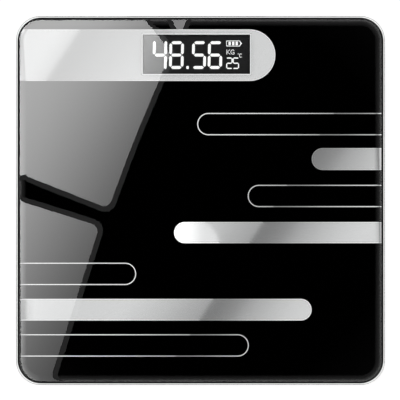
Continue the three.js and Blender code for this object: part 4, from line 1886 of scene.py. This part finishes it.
@dataclass
class Fittings(Assembly):
    """The case behind the display, the ducts and leads, and everything bonded to the glass."""

    screws: tuple[Point, ...] = ((-44.5, 63), (38.9, 63), (-53.5, 127), (47.9, 127))
    screw_names: tuple[str, ...] = ("front_left", "front_right", "rear_left", "rear_right")
    head: float = 3.0  # the screws' lowest point, their seat and their tip
    seat: float = 3.95
    tip: float = 11.0
    head_radius: float = 2.4
    shank_radius: float = 1.25
    dome: Point = (0.5, 0.45)  # how far the head's edge is drawn in and up
    taper: float = 1.0  # length of the screws' points
    recess: Point = (1.3, 0.28)  # half the length and width of a cross arm
    recess_depth: float = 0.6
    recess_clear: float = 1.0  # how far its cutter stands out of the head
    case: Finish = Moulded("case_abs", Slot.CASE, colour=(0.02, 0.02, 0.022), roughness=0.5)
    tape: Finish = Foam("foam_tape", Slot.TAPE)
    cell: Finish = SheetMetal("load_cell_steel", Slot.CELL_STEEL, colour=(0.56, 0.57, 0.59))
    seal: Finish = Cast("gauge_silicone", Slot.SEAL, colour=(0.82, 0.8, 0.72), scatter=0.2)
    lead: Finish = Moulded("lead_pvc", Slot.LEAD, colour=(0.45, 0.035, 0.02), roughness=0.45, dusty=0.0)
    button: Finish = Moulded("button_abs", Slot.BUTTON, colour=(0.2, 0.2, 0.205), roughness=0.5)
    board: Finish = Board("solder_mask", Slot.BOARD)
    epoxy: Finish = Cast("chip_epoxy", Slot.CHIP, colour=(0.012, 0.012, 0.013), roughness=0.25)
    nickel: Finish = SheetMetal("contact_nickel", Slot.CONTACT, colour=(0.68, 0.66, 0.6), roughness=0.2)
    steel: Finish = SheetMetal(
        "screw_zinc", Slot.SCREW, colour=(0.6, 0.61, 0.63), roughness=0.3, stretch=1.0
    )

    def build(self) -> None:
        """Dresses the CAD nodes and makes the screws."""
        self.shop.dress(self.case, "rear_case", "battery_door", "display_carrier")
        self.shop.dress(Foot.housing, "wire_duct")
        self.shop.dress(self.tape, "housing_tape", "carrier_tape")
        self.shop.dress(self.cell, "load_cell")
        self.shop.dress(self.seal, "gauge_seal")
        self.shop.dress(self.lead, "cell_lead")
        self.shop.dress(self.button, "unit_button")
        self.shop.dress(self.board, "main_board")
        self.shop.dress(self.epoxy, "controller_chip", "thermistor", "unit_switch")
        self.shop.dress(self.nickel, "contact_")
        self._screws()

    def _screw(self) -> Object:
        """One screw about the Z axis with its head down and a cross recess in it.

        Returns:
            The screw.
        """
        wide, slim = self.head_radius, self.shank_radius
        inward, upward = self.dome
        dome = [(0, self.head), (wide - inward, self.head), (wide, self.head + upward), (wide, self.seat)]
        profile = [*dome, (slim, self.seat), (slim, self.tip - self.taper), (0, self.tip)]
        screw = revolve("screw", fillet(profile, radius=0.15, steps=2), sides=40)
        x, y = self.recess
        low, high = self.head - self.recess_clear, self.head + self.recess_depth
        arms = [box("arm", (-x, -y, low), (x, y, high)) for _ in range(2)]
        for n, arm in enumerate(arms):
            place(arm, Matrix.Rotation(math.radians(45 + 90 * n), 4, "Z"))
            cut = screw.modifiers.new(f"recess_{n}", "BOOLEAN")
            cut.operation = "DIFFERENCE"
            cut.object = arm
        screw = smooth(plain("screw", screw))
        for arm in arms:
            bpy.data.objects.remove(arm)
        return screw

    def _screws(self) -> None:
        """Four cross-head screws, set in the case."""
        screw = self._screw()
        base = solid("screw_points", [(x, y, 0) for x, y in self.screws])
        material = self.steel.material(self.shop.effects)
        made = self.shop.copies.grow("case_screws", base, Part=screw, Material=material)
        bpy.data.objects.remove(screw)
        self.shop.mount(made, Body.PLATFORM, self.steel, *(f"case_screw_{n}" for n in self.screw_names))


@dataclass
class Cell(Assembly):
    """An AAA cell with its crimped ends, and the coil spring that presses on it."""

    ALONG = "along"
    BARE = "bare"

    name: str
    y: float
    base: float  # where the flat end is along X
    toward: int  # +1 if the nub is towards +X
    spring_from: float  # the spring's root along X
    z: float = 9.4
    profile: Profile = (  # (radius, distance from the flat end)
        (0, 0.2), (3.3, 0.2), (3.6, 0), (4.75, 0), (5.0, 0.25), (5.25, 0.45), (5.25, 42.9),
        (5.0, 43.2), (4.5, 43.3), (4.2, 42.9), (2.5, 42.9), (2.1, 43.3), (1.95, 43.5), (1.9, 44.2),
        (1.6, 44.5), (0, 44.5),
    )
    sleeve: float = 4.9  # the shrink sleeve ends at this radius
    turns: float = 4.5
    coil: tuple[float, float, float] = (2.6, 1.9, 5.8)  # radius at the root and at the top, height
    wire: float = 0.3
    root: float = 0.35  # the spring's first turn, off its root
    jacket: Finish = Jacket("shrink_sleeve", Slot.JACKET)
    nickel: Finish = SheetMetal("spring_nickel", Slot.CONTACT, colour=(0.7, 0.68, 0.63), roughness=0.16)

    def build(self) -> None:
        """Makes the cell and its spring."""
        self._cell()
        self._spring()

    def _cell(self) -> None:
        """The turned cell, which knows how far along and how bare each point is."""
        cell = revolve(f"cell_{self.name}", fillet(self.profile, radius=0.12, steps=2), sides=64)
        along = cell.data.attributes.new(self.ALONG, "FLOAT", "POINT")
        bare = cell.data.attributes.new(self.BARE, "FLOAT", "POINT")
        for n, vertex in enumerate(cell.data.vertices):
            radius = math.hypot(vertex.co.x, vertex.co.y) / MM
            along.data[n].value = vertex.co.z / MM / self.profile[-1][1]
            bare.data[n].value = float(radius < self.sleeve)
        self._lay(cell, self.base)
        self.shop.mount(cell, Body.PLATFORM, self.jacket, f"battery_{self.name}")

    def _spring(self) -> None:
        """The coil spring at the cell's flat end."""
        bottom, top, height = (size * MM for size in self.coil)
        spring = self.shop.coil.grow(
            f"spring_{self.name}",
            solid("coil_base", []),
            Turns=self.turns,
            Bottom=bottom,
            Top=top,
            Height=height,
            Wire=self.wire * MM,
            Material=self.nickel.material(self.shop.effects),
        )
        place(spring, Matrix.Translation((0, 0, self.root * MM)))
        self._lay(spring, self.spring_from)
        self.shop.mount(spring, Body.PLATFORM, self.nickel, f"battery_spring_{self.name}")

    def _lay(self, piece: Object, x: float) -> None:
        """Lays a piece made along Z down along X, its foot at x."""
        tilt = Matrix.Rotation(math.radians(90 * self.toward), 4, "Y")
        place(piece, Matrix.Translation((x * MM, self.y * MM, self.z * MM)) @ tilt)


# ---------------------------------------------------------------- view


class Ray(Enum):
    """Which light paths a reflected card is made for."""

    SURFACE = "surface"  # mirrored by the face of the glass
    INK = "ink"  # mirrored by the silver ink behind it


@dataclass(frozen=True)
class Light:
    """A material that shines for mirrored rays only, and what its pattern works with."""

    material: Material
    graph: Graph
    glow: Node
    x: NodeSocket  # place on the glass, in millimetres
    y: NodeSocket

    def shine(self, strength: Source) -> None:
        """Sets how strongly it shines."""
        self.graph.feed(self.glow.inputs["Strength"], strength)


@dataclass(frozen=True)
class View:
    """The camera straight over the glass, and how it sees cards mirrored there."""

    distance: float = 2.0  # camera above the glass, in metres
    glass_top: float = 0.023
    width: float = 0.3033  # how much of the glass fits across the view, in metres
    aim: Point = (-0.38, 0.38)
    sensor: float = 36.0
    height: float = 1.0  # cards above the glass, in metres
    deep: float = 3.5  # transmission depth past which a ray has met the display's own face
    outer_share: float = 0.8  # how strongly that face adds to the panes

    @property
    def growth(self) -> float:
        """How much larger a card is than its image on the glass."""
        return 1 + self.height / self.distance

    def camera(self) -> None:
        """Sets up a long lens that looks straight down."""
        data = bpy.data.cameras.new("camera")
        data.sensor_width = self.sensor
        data.lens = self.sensor * self.distance / self.width
        data.clip_end = 100
        camera = linked(bpy.data.objects.new("camera", data))
        camera.location = (self.aim[0] * MM, self.aim[1] * MM, self.glass_top + self.distance)
        bpy.context.scene.camera = camera

    def card(self, name: str, outline: Iterable[Point], lift: float, light: Light) -> None:
        """Hangs up a flat card that only mirrored rays see.

        Args:
            name: Its name.
            outline: Closed outline, as it shows on the glass.
            lift: Extra height in millimetres, which keeps cards apart.
            light: Its light.
        """
        z = (self.glass_top + self.height) / MM + lift
        ax, ay = self.aim
        corners = [(ax + (x - ax) * self.growth, ay + (y - ay) * self.growth, z) for x, y in outline]
        card = solid(name, corners, [list(range(len(corners)))])
        card.data.materials.append(light.material)
        card.visible_camera = False
        card.visible_diffuse = False
        card.visible_shadow = False

    def light(self, name: str, kind: Ray, strength: float = 1.0) -> Light:
        """A light for cards.

        Args:
            name: The material's name.
            kind: Which mirrored rays it shines for.
            strength: How strongly it shines where no pattern says otherwise.

        Returns:
            The light.
        """
        material = bpy.data.materials.new(name)
        graph = Graph.fresh(material)
        ray = graph.add("ShaderNodeLightPath").outputs
        glossy, sent = ray["Is Glossy Ray"], ray["Is Transmission Ray"]
        inner = graph.times(sent, graph.math("GREATER_THAN", ray["Transmission Depth"], self.deep))
        if kind is Ray.SURFACE:
            face = graph.math("MAXIMUM", graph.math("SUBTRACT", glossy, sent), 0.0)
            seen = graph.math("ADD", face, graph.times(inner, self.outer_share))
        else:
            seen = graph.math("SUBTRACT", sent, inner)
        glow = graph.add("ShaderNodeEmission", {"Strength": strength})
        clear = graph.add("ShaderNodeBsdfTransparent")
        lit = graph.add("ShaderNodeMixShader", {0: seen, 1: clear, 2: glow})
        graph.add("ShaderNodeOutputMaterial", {"Surface": lit})
        x, y, _ = graph.axes(graph.spot())
        shrink = 1 / (MM * self.growth)
        return Light(material, graph, glow, graph.times(x, shrink), graph.times(y, shrink))


@dataclass(frozen=True)
class Window:
    """Framed window panes that the face of the glass mirrors, brighter towards the upper left."""

    view: View
    # corners of the panes, as they show on the glass
    upper: Profile = (
        (-39.9, 175), (-44.3, 365), (-430, 365), (-400, 19.7), (-135.1, 19.7),
        (-69.7, -6.1), (-52, 41.7), (-23.1, 110.9), (-30.2, 122.8), (-37.9, 132),
    )
    lower: Profile = (
        (-132.3, -1.9), (-365, 0.9), (-235, -260), (-235, -400),
        (-113.5, -400), (-112.6, -132), (-76.5, -19.5),
    )
    far: Profile = ((-10.3, 420), (-23.5, 420), (-19.8, 136), (-18.8, 129.5), (-13, 129.5), (-12.3, 136))
    # daylight is exp(a + bx + cx^2 + dx^3 + ey + fxy + gy^2) with x and y in units of 100 mm
    terms: tuple[float, ...] = (-3.79, -3.59, -1.69, -0.357, 1.51, 0.78, -0.177)
    unit: float = 100.0
    bend: Point = (0.4, -79.2)  # x runs on at this pace, from this offset, where that is further right
    least_x: float = -170.0
    held_y: Point = (-132.0, 140.0)
    radiance: float = 21.6
    far_radiance: float = 4.7
    frame_radiance: float = 0.395
    frame: float = 4.0  # how far a frame stands out round its pane
    pane_corner: float = 7.0
    frame_corner: float = 10.0
    frame_lift: float = 2.0

    def build(self) -> None:
        """Hangs up the panes and their frames."""
        day = self.view.light("daylight", Ray.SURFACE)
        day.shine(self._daylight(day))
        bars = self.view.light("window_bars", Ray.SURFACE, self.frame_radiance)
        far = self.view.light("far_window", Ray.SURFACE, self.far_radiance)
        panes = ("upper", self.upper, day), ("lower", self.lower, day), ("far", self.far, far)
        for name, corners, light in panes:
            self.view.card(f"pane_{name}", fillet(corners, self.pane_corner, closed=True), 0, light)
            grown = fillet(offset(corners, self.frame), self.frame_corner, closed=True)
            self.view.card(f"bar_{name}", grown, self.frame_lift, bars)

    def _daylight(self, light: Light) -> NodeSocket:
        """How bright the sky behind the panes is.

        Args:
            light: The light of the panes.

        Returns:
            Its strength.
        """
        graph = light.graph
        a, b, c, d, e, f, g = self.terms
        low, high = self.held_y
        bent = graph.math("MAXIMUM", light.x, graph.math("MULTIPLY_ADD", light.x, *self.bend))
        x = graph.math("DIVIDE", graph.math("MAXIMUM", bent, self.least_x), self.unit)
        held = graph.math("MAXIMUM", graph.math("MINIMUM", light.y, high), low)
        y = graph.math("DIVIDE", held, self.unit)
        across = graph.math("MULTIPLY_ADD", graph.math("MULTIPLY_ADD", x, d, c), x, b)
        along = graph.math("MULTIPLY_ADD", x, f, graph.math("MULTIPLY_ADD", y, g, e))
        power = graph.math("MULTIPLY_ADD", across, x, graph.math("MULTIPLY_ADD", along, y, a))
        return graph.times(graph.math("EXPONENT", power), self.radiance)


@dataclass(frozen=True)
class GradedCard:
    """A graded card that the silver mirrors, split along a diagonal, with a bright patch."""

    view: View
    # radiance on each side, by the distance from the diagonal along X as a share of the side's span
    right: Stops = (
        (0, 0.185), (0.12, 0.212), (0.22, 0.266), (0.33, 0.38), (0.5, 0.49), (0.64, 0.575), (0.82, 0.645),
    )
    left: Stops = (
        (0, 0.36), (0.05, 0.415), (0.11, 0.515), (0.21, 0.64), (0.504, 0.62), (0.586, 0.51),
        (0.647, 0.405), (0.737, 0.275), (0.781, 0.225), (0.786, 0.39), (0.814, 0.43), (0.844, 0.455),
        (0.894, 0.43),
    )
    # how much of it is left, by the distance from the middle as a share of the card
    fall: Stops = (
        (0.47, 1), (0.5, 0.92), (0.53, 0.8), (0.587, 0.65), (0.68, 0.45), (0.82, 0.19), (0.97, 0.03),
    )
    lean: float = 0.649  # run of the diagonal along X for each step along Y
    start: float = 58.6  # where it crosses Y = 0
    right_span: float = 100.0
    left_span: float = -300.0
    patch: Point = (-7.0, -35.0)  # its middle
    patch_level: float = 1.06
    patch_edge: Point = (21.0, 22.8)  # radii between which it fades out
    patch_shade: float = 0.72  # how much of it is left on its right side
    patch_turn: Point = (-8.0, 2.0)  # between these places along X
    half: float = 320.0
    corner: float = 10.0
    lift: float = 6.0
    silver: float = 0.8 * 0.92  # what the silver under the glass sends back
    window_rim: float = 0.8
    behind: float = 0.2  # how much of it the display's window shows

    def build(self) -> None:
        """Hangs up the card."""
        light = self.view.light("graded_card", Ray.INK)
        graph = light.graph
        total = graph.math("MAXIMUM", self._sides(light), self._patch(light))
        out = graph.math("MAXIMUM", graph.math("ABSOLUTE", light.x), graph.math("ABSOLUTE", light.y))
        fall = graph.ramp(graph.math("DIVIDE", out, self.half), self.fall)
        x, y, width, height = BackPrint.window
        size = (width - self.window_rim, height - self.window_rim)
        window = graph.inside((light.x, light.y), (x, y), size)
        light.shine(graph.times(total, fall, 1 / self.silver, graph.spread(window, 1, self.behind)))
        outline = rounded_rect((0, 0), 2 * self.half, 2 * self.half, self.corner)
        self.view.card("graded_card", outline, self.lift, light)

    def _sides(self, light: Light) -> NodeSocket:
        """The radiance of the two sides of the diagonal.

        Args:
            light: The card's light.

        Returns:
            The radiance.
        """
        graph = light.graph
        leant = graph.math("SUBTRACT", light.x, graph.times(light.y, self.lean))
        across = graph.math("SUBTRACT", leant, self.start)
        right = graph.ramp(graph.math("DIVIDE", across, self.right_span), self.right)
        left = graph.ramp(graph.math("DIVIDE", across, self.left_span), self.left)
        return graph.blend(graph.math("GREATER_THAN", across, 0.0), left, right)

    def _patch(self, light: Light) -> Source:
        """The radiance of the bright patch.

        Args:
            light: The card's light.

        Returns:
            The radiance.
        """
        graph = light.graph
        axes = zip((light.x, light.y), self.patch)
        squares = [graph.math("POWER", graph.math("SUBTRACT", at, middle), 2.0) for at, middle in axes]
        away = graph.math("SQRT", graph.math("ADD", *squares))
        disc = graph.spread(away, self.patch_level, 0, *self.patch_edge)
        return graph.times(disc, graph.spread(light.x, 1, self.patch_shade, *self.patch_turn))


# ---------------------------------------------------------------- studio


@dataclass(frozen=True)
class Lamp:
    """A soft square lamp: its place and size in metres, and its power in watts."""

    name: str
    spot: tuple[float, float, float]
    size: float
    power: float

    def build(self) -> None:
        """Hangs it up, aimed at the object and unseen in the glass."""
        data = bpy.data.lights.new(self.name, "AREA")
        data.size = self.size
        data.energy = self.power
        lamp = linked(bpy.data.objects.new(self.name, data))
        lamp.location = self.spot
        lamp.rotation_euler = (-Vector(self.spot)).to_track_quat("-Z", "Y").to_euler()
        lamp.visible_camera = False
        lamp.visible_glossy = False
        lamp.visible_transmission = False


@dataclass(frozen=True)
class Studio:
    """White surroundings, a pale floor and soft lamps, with what the glass and the silver mirror."""

    view: View = View()
    # (degrees from the zenith, radiance): what is mirrored, and what shows through the glass from below
    mirrored: Stops = (
        (4.2, 0.0), (5.2, 0.011), (6.8, 0.055), (8.2, 0.1), (9.8, 0.14), (12.9, 0.24), (17.3, 0.5),
        (25, 1.0), (31, 0.45), (38, 0.12), (62, 0.09), (75, 0.22), (87, 0.45),
    )
    through: Stops = ((6, 0.02), (25, 0.35), (60, 0.72), (80, 0.85))
    # a large soft key from the upper left and a weaker fill from the right
    lamps: tuple[Lamp, ...] = (
        Lamp("key", (-1.6, 1.3, 2.2), 1.8, 34),
        Lamp("fill", (1.9, -1.2, 1.7), 2.0, 16),
    )
    sky: float = 1.71  # brightest radiance of what is mirrored
    fill: float = 0.62
    floor_half: float = 6000.0
    floor_z: float = -0.02
    floor_tone: float = 0.6  # of the floor as it lights the object
    floor_glow: float = 0.3
    shown: float = 1.12  # what the floor shows by its own glow where no lamp counts
    shares: Point = (0.8, 0.25)  # how much of what shows is lit for real, under the object and round it
    under: Point = (0.118, 0.14)  # metres from the middle between which that changes
    fade: Point = (0.4, 1.2)  # metres from the middle between which it ends

    def build(self) -> None:
        """Sets everything round the object."""
        self.view.camera()
        self._world()
        self._floor()
        for lamp in self.lamps:
            lamp.build()
        Window(self.view).build()
        GradedCard(self.view).build()
        bpy.context.scene.view_settings.view_transform = "Standard"

    def _world(self) -> None:
        """White behind the object, soft fill, and a sky for reflections that darkens overhead."""
        world = bpy.data.worlds.new("studio")
        bpy.context.scene.world = world
        graph = Graph.fresh(world)
        ray = graph.add("ShaderNodeLightPath").outputs
        up = graph.axes(graph.add("ShaderNodeTexCoord").outputs["Generated"])[2]
        from_zenith = graph.math("DIVIDE", graph.math("ARCCOSINE", up), math.pi)
        mirrored, through = (
            graph.ramp(from_zenith, [(angle / 180, level) for angle, level in stops])
            for stops in (self.mirrored, self.through)
        )
        level = graph.blend(ray["Is Glossy Ray"], grey(self.fill), graph.scaled(mirrored, self.sky))
        level = graph.blend(ray["Is Transmission Ray"], level, through)
        level = graph.blend(ray["Is Camera Ray"], level, WHITE)
        backdrop = graph.add("ShaderNodeBackground", {"Color": level, "Strength": 1.0})
        graph.add("ShaderNodeOutputWorld", {"Surface": backdrop})

    def _floor(self) -> None:
        """A pale floor that keeps the object's shadow, fades to white and is open from below."""
        sides = (-1, -1), (1, -1), (1, 1), (-1, 1)
        corners = [(x * self.floor_half, y * self.floor_half, self.floor_z) for x, y in sides]
        floor = solid("floor", corners, [list(range(4))])
        material = bpy.data.materials.new("floor")
        graph = Graph.fresh(material)
        ray = graph.add("ShaderNodeLightPath").outputs
        mirrored = graph.math("ADD", ray["Is Glossy Ray"], ray["Is Transmission Ray"])
        seen = graph.math("MINIMUM", graph.math("ADD", ray["Is Camera Ray"], mirrored), 1.0)
        spot = graph.spot()
        x, y, _ = graph.axes(spot)
        out = graph.math("MAXIMUM", graph.math("ABSOLUTE", x), graph.math("ABSOLUTE", y))
        away = graph.add("ShaderNodeVectorMath", {0: spot}, operation="LENGTH").outputs["Value"]
        lit_for_real = graph.spread(out, *self.shares, *self.under)
        share = graph.times(lit_for_real, graph.spread(away, 1, 0, *self.fade))
        tone = graph.blend(seen, grey(self.floor_tone), share)
        matt = graph.add("ShaderNodeBsdfDiffuse", {"Color": tone})
        lift = graph.blend(seen, grey(self.floor_glow), graph.math("SUBTRACT", self.shown, share))
        glow = graph.add("ShaderNodeEmission", {"Strength": lift})
        lit = graph.add("ShaderNodeAddShader", {0: matt, 1: glow})
        below = graph.add("ShaderNodeNewGeometry").outputs["Backfacing"]
        clear = graph.add("ShaderNodeBsdfTransparent")
        shown = graph.add("ShaderNodeMixShader", {0: below, 1: lit, 2: clear})
        graph.add("ShaderNodeOutputMaterial", {"Surface": shown})
        floor.data.materials.append(material)


# ---------------------------------------------------------------- main


def main() -> None:
    """Builds the scale and its studio."""
    logging.basicConfig(level=logging.INFO, format="%(name)s: %(message)s")
    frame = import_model()
    shop = Shop(frame)
    for assembly in (
        Platform(shop),
        BackPrint(shop),
        Display(shop),
        Fittings(shop),
        Foot(shop, Body.FRONT_LEFT, x=-102, y=-102),
        Foot(shop, Body.FRONT_RIGHT, x=102, y=-102),
        Foot(shop, Body.REAR_LEFT, x=-102, y=102, turn=-90),
        Foot(shop, Body.REAR_RIGHT, x=102, y=102, turn=90),
        Cell(shop, "front", y=66.5, base=-28.6, toward=1, spring_from=-35.45),
        Cell(shop, "rear", y=78.3, base=9.2, toward=-1, spring_from=16.05),
    ):
        assembly.build()
    Studio().build()


if __name__ == "__main__":
    main()
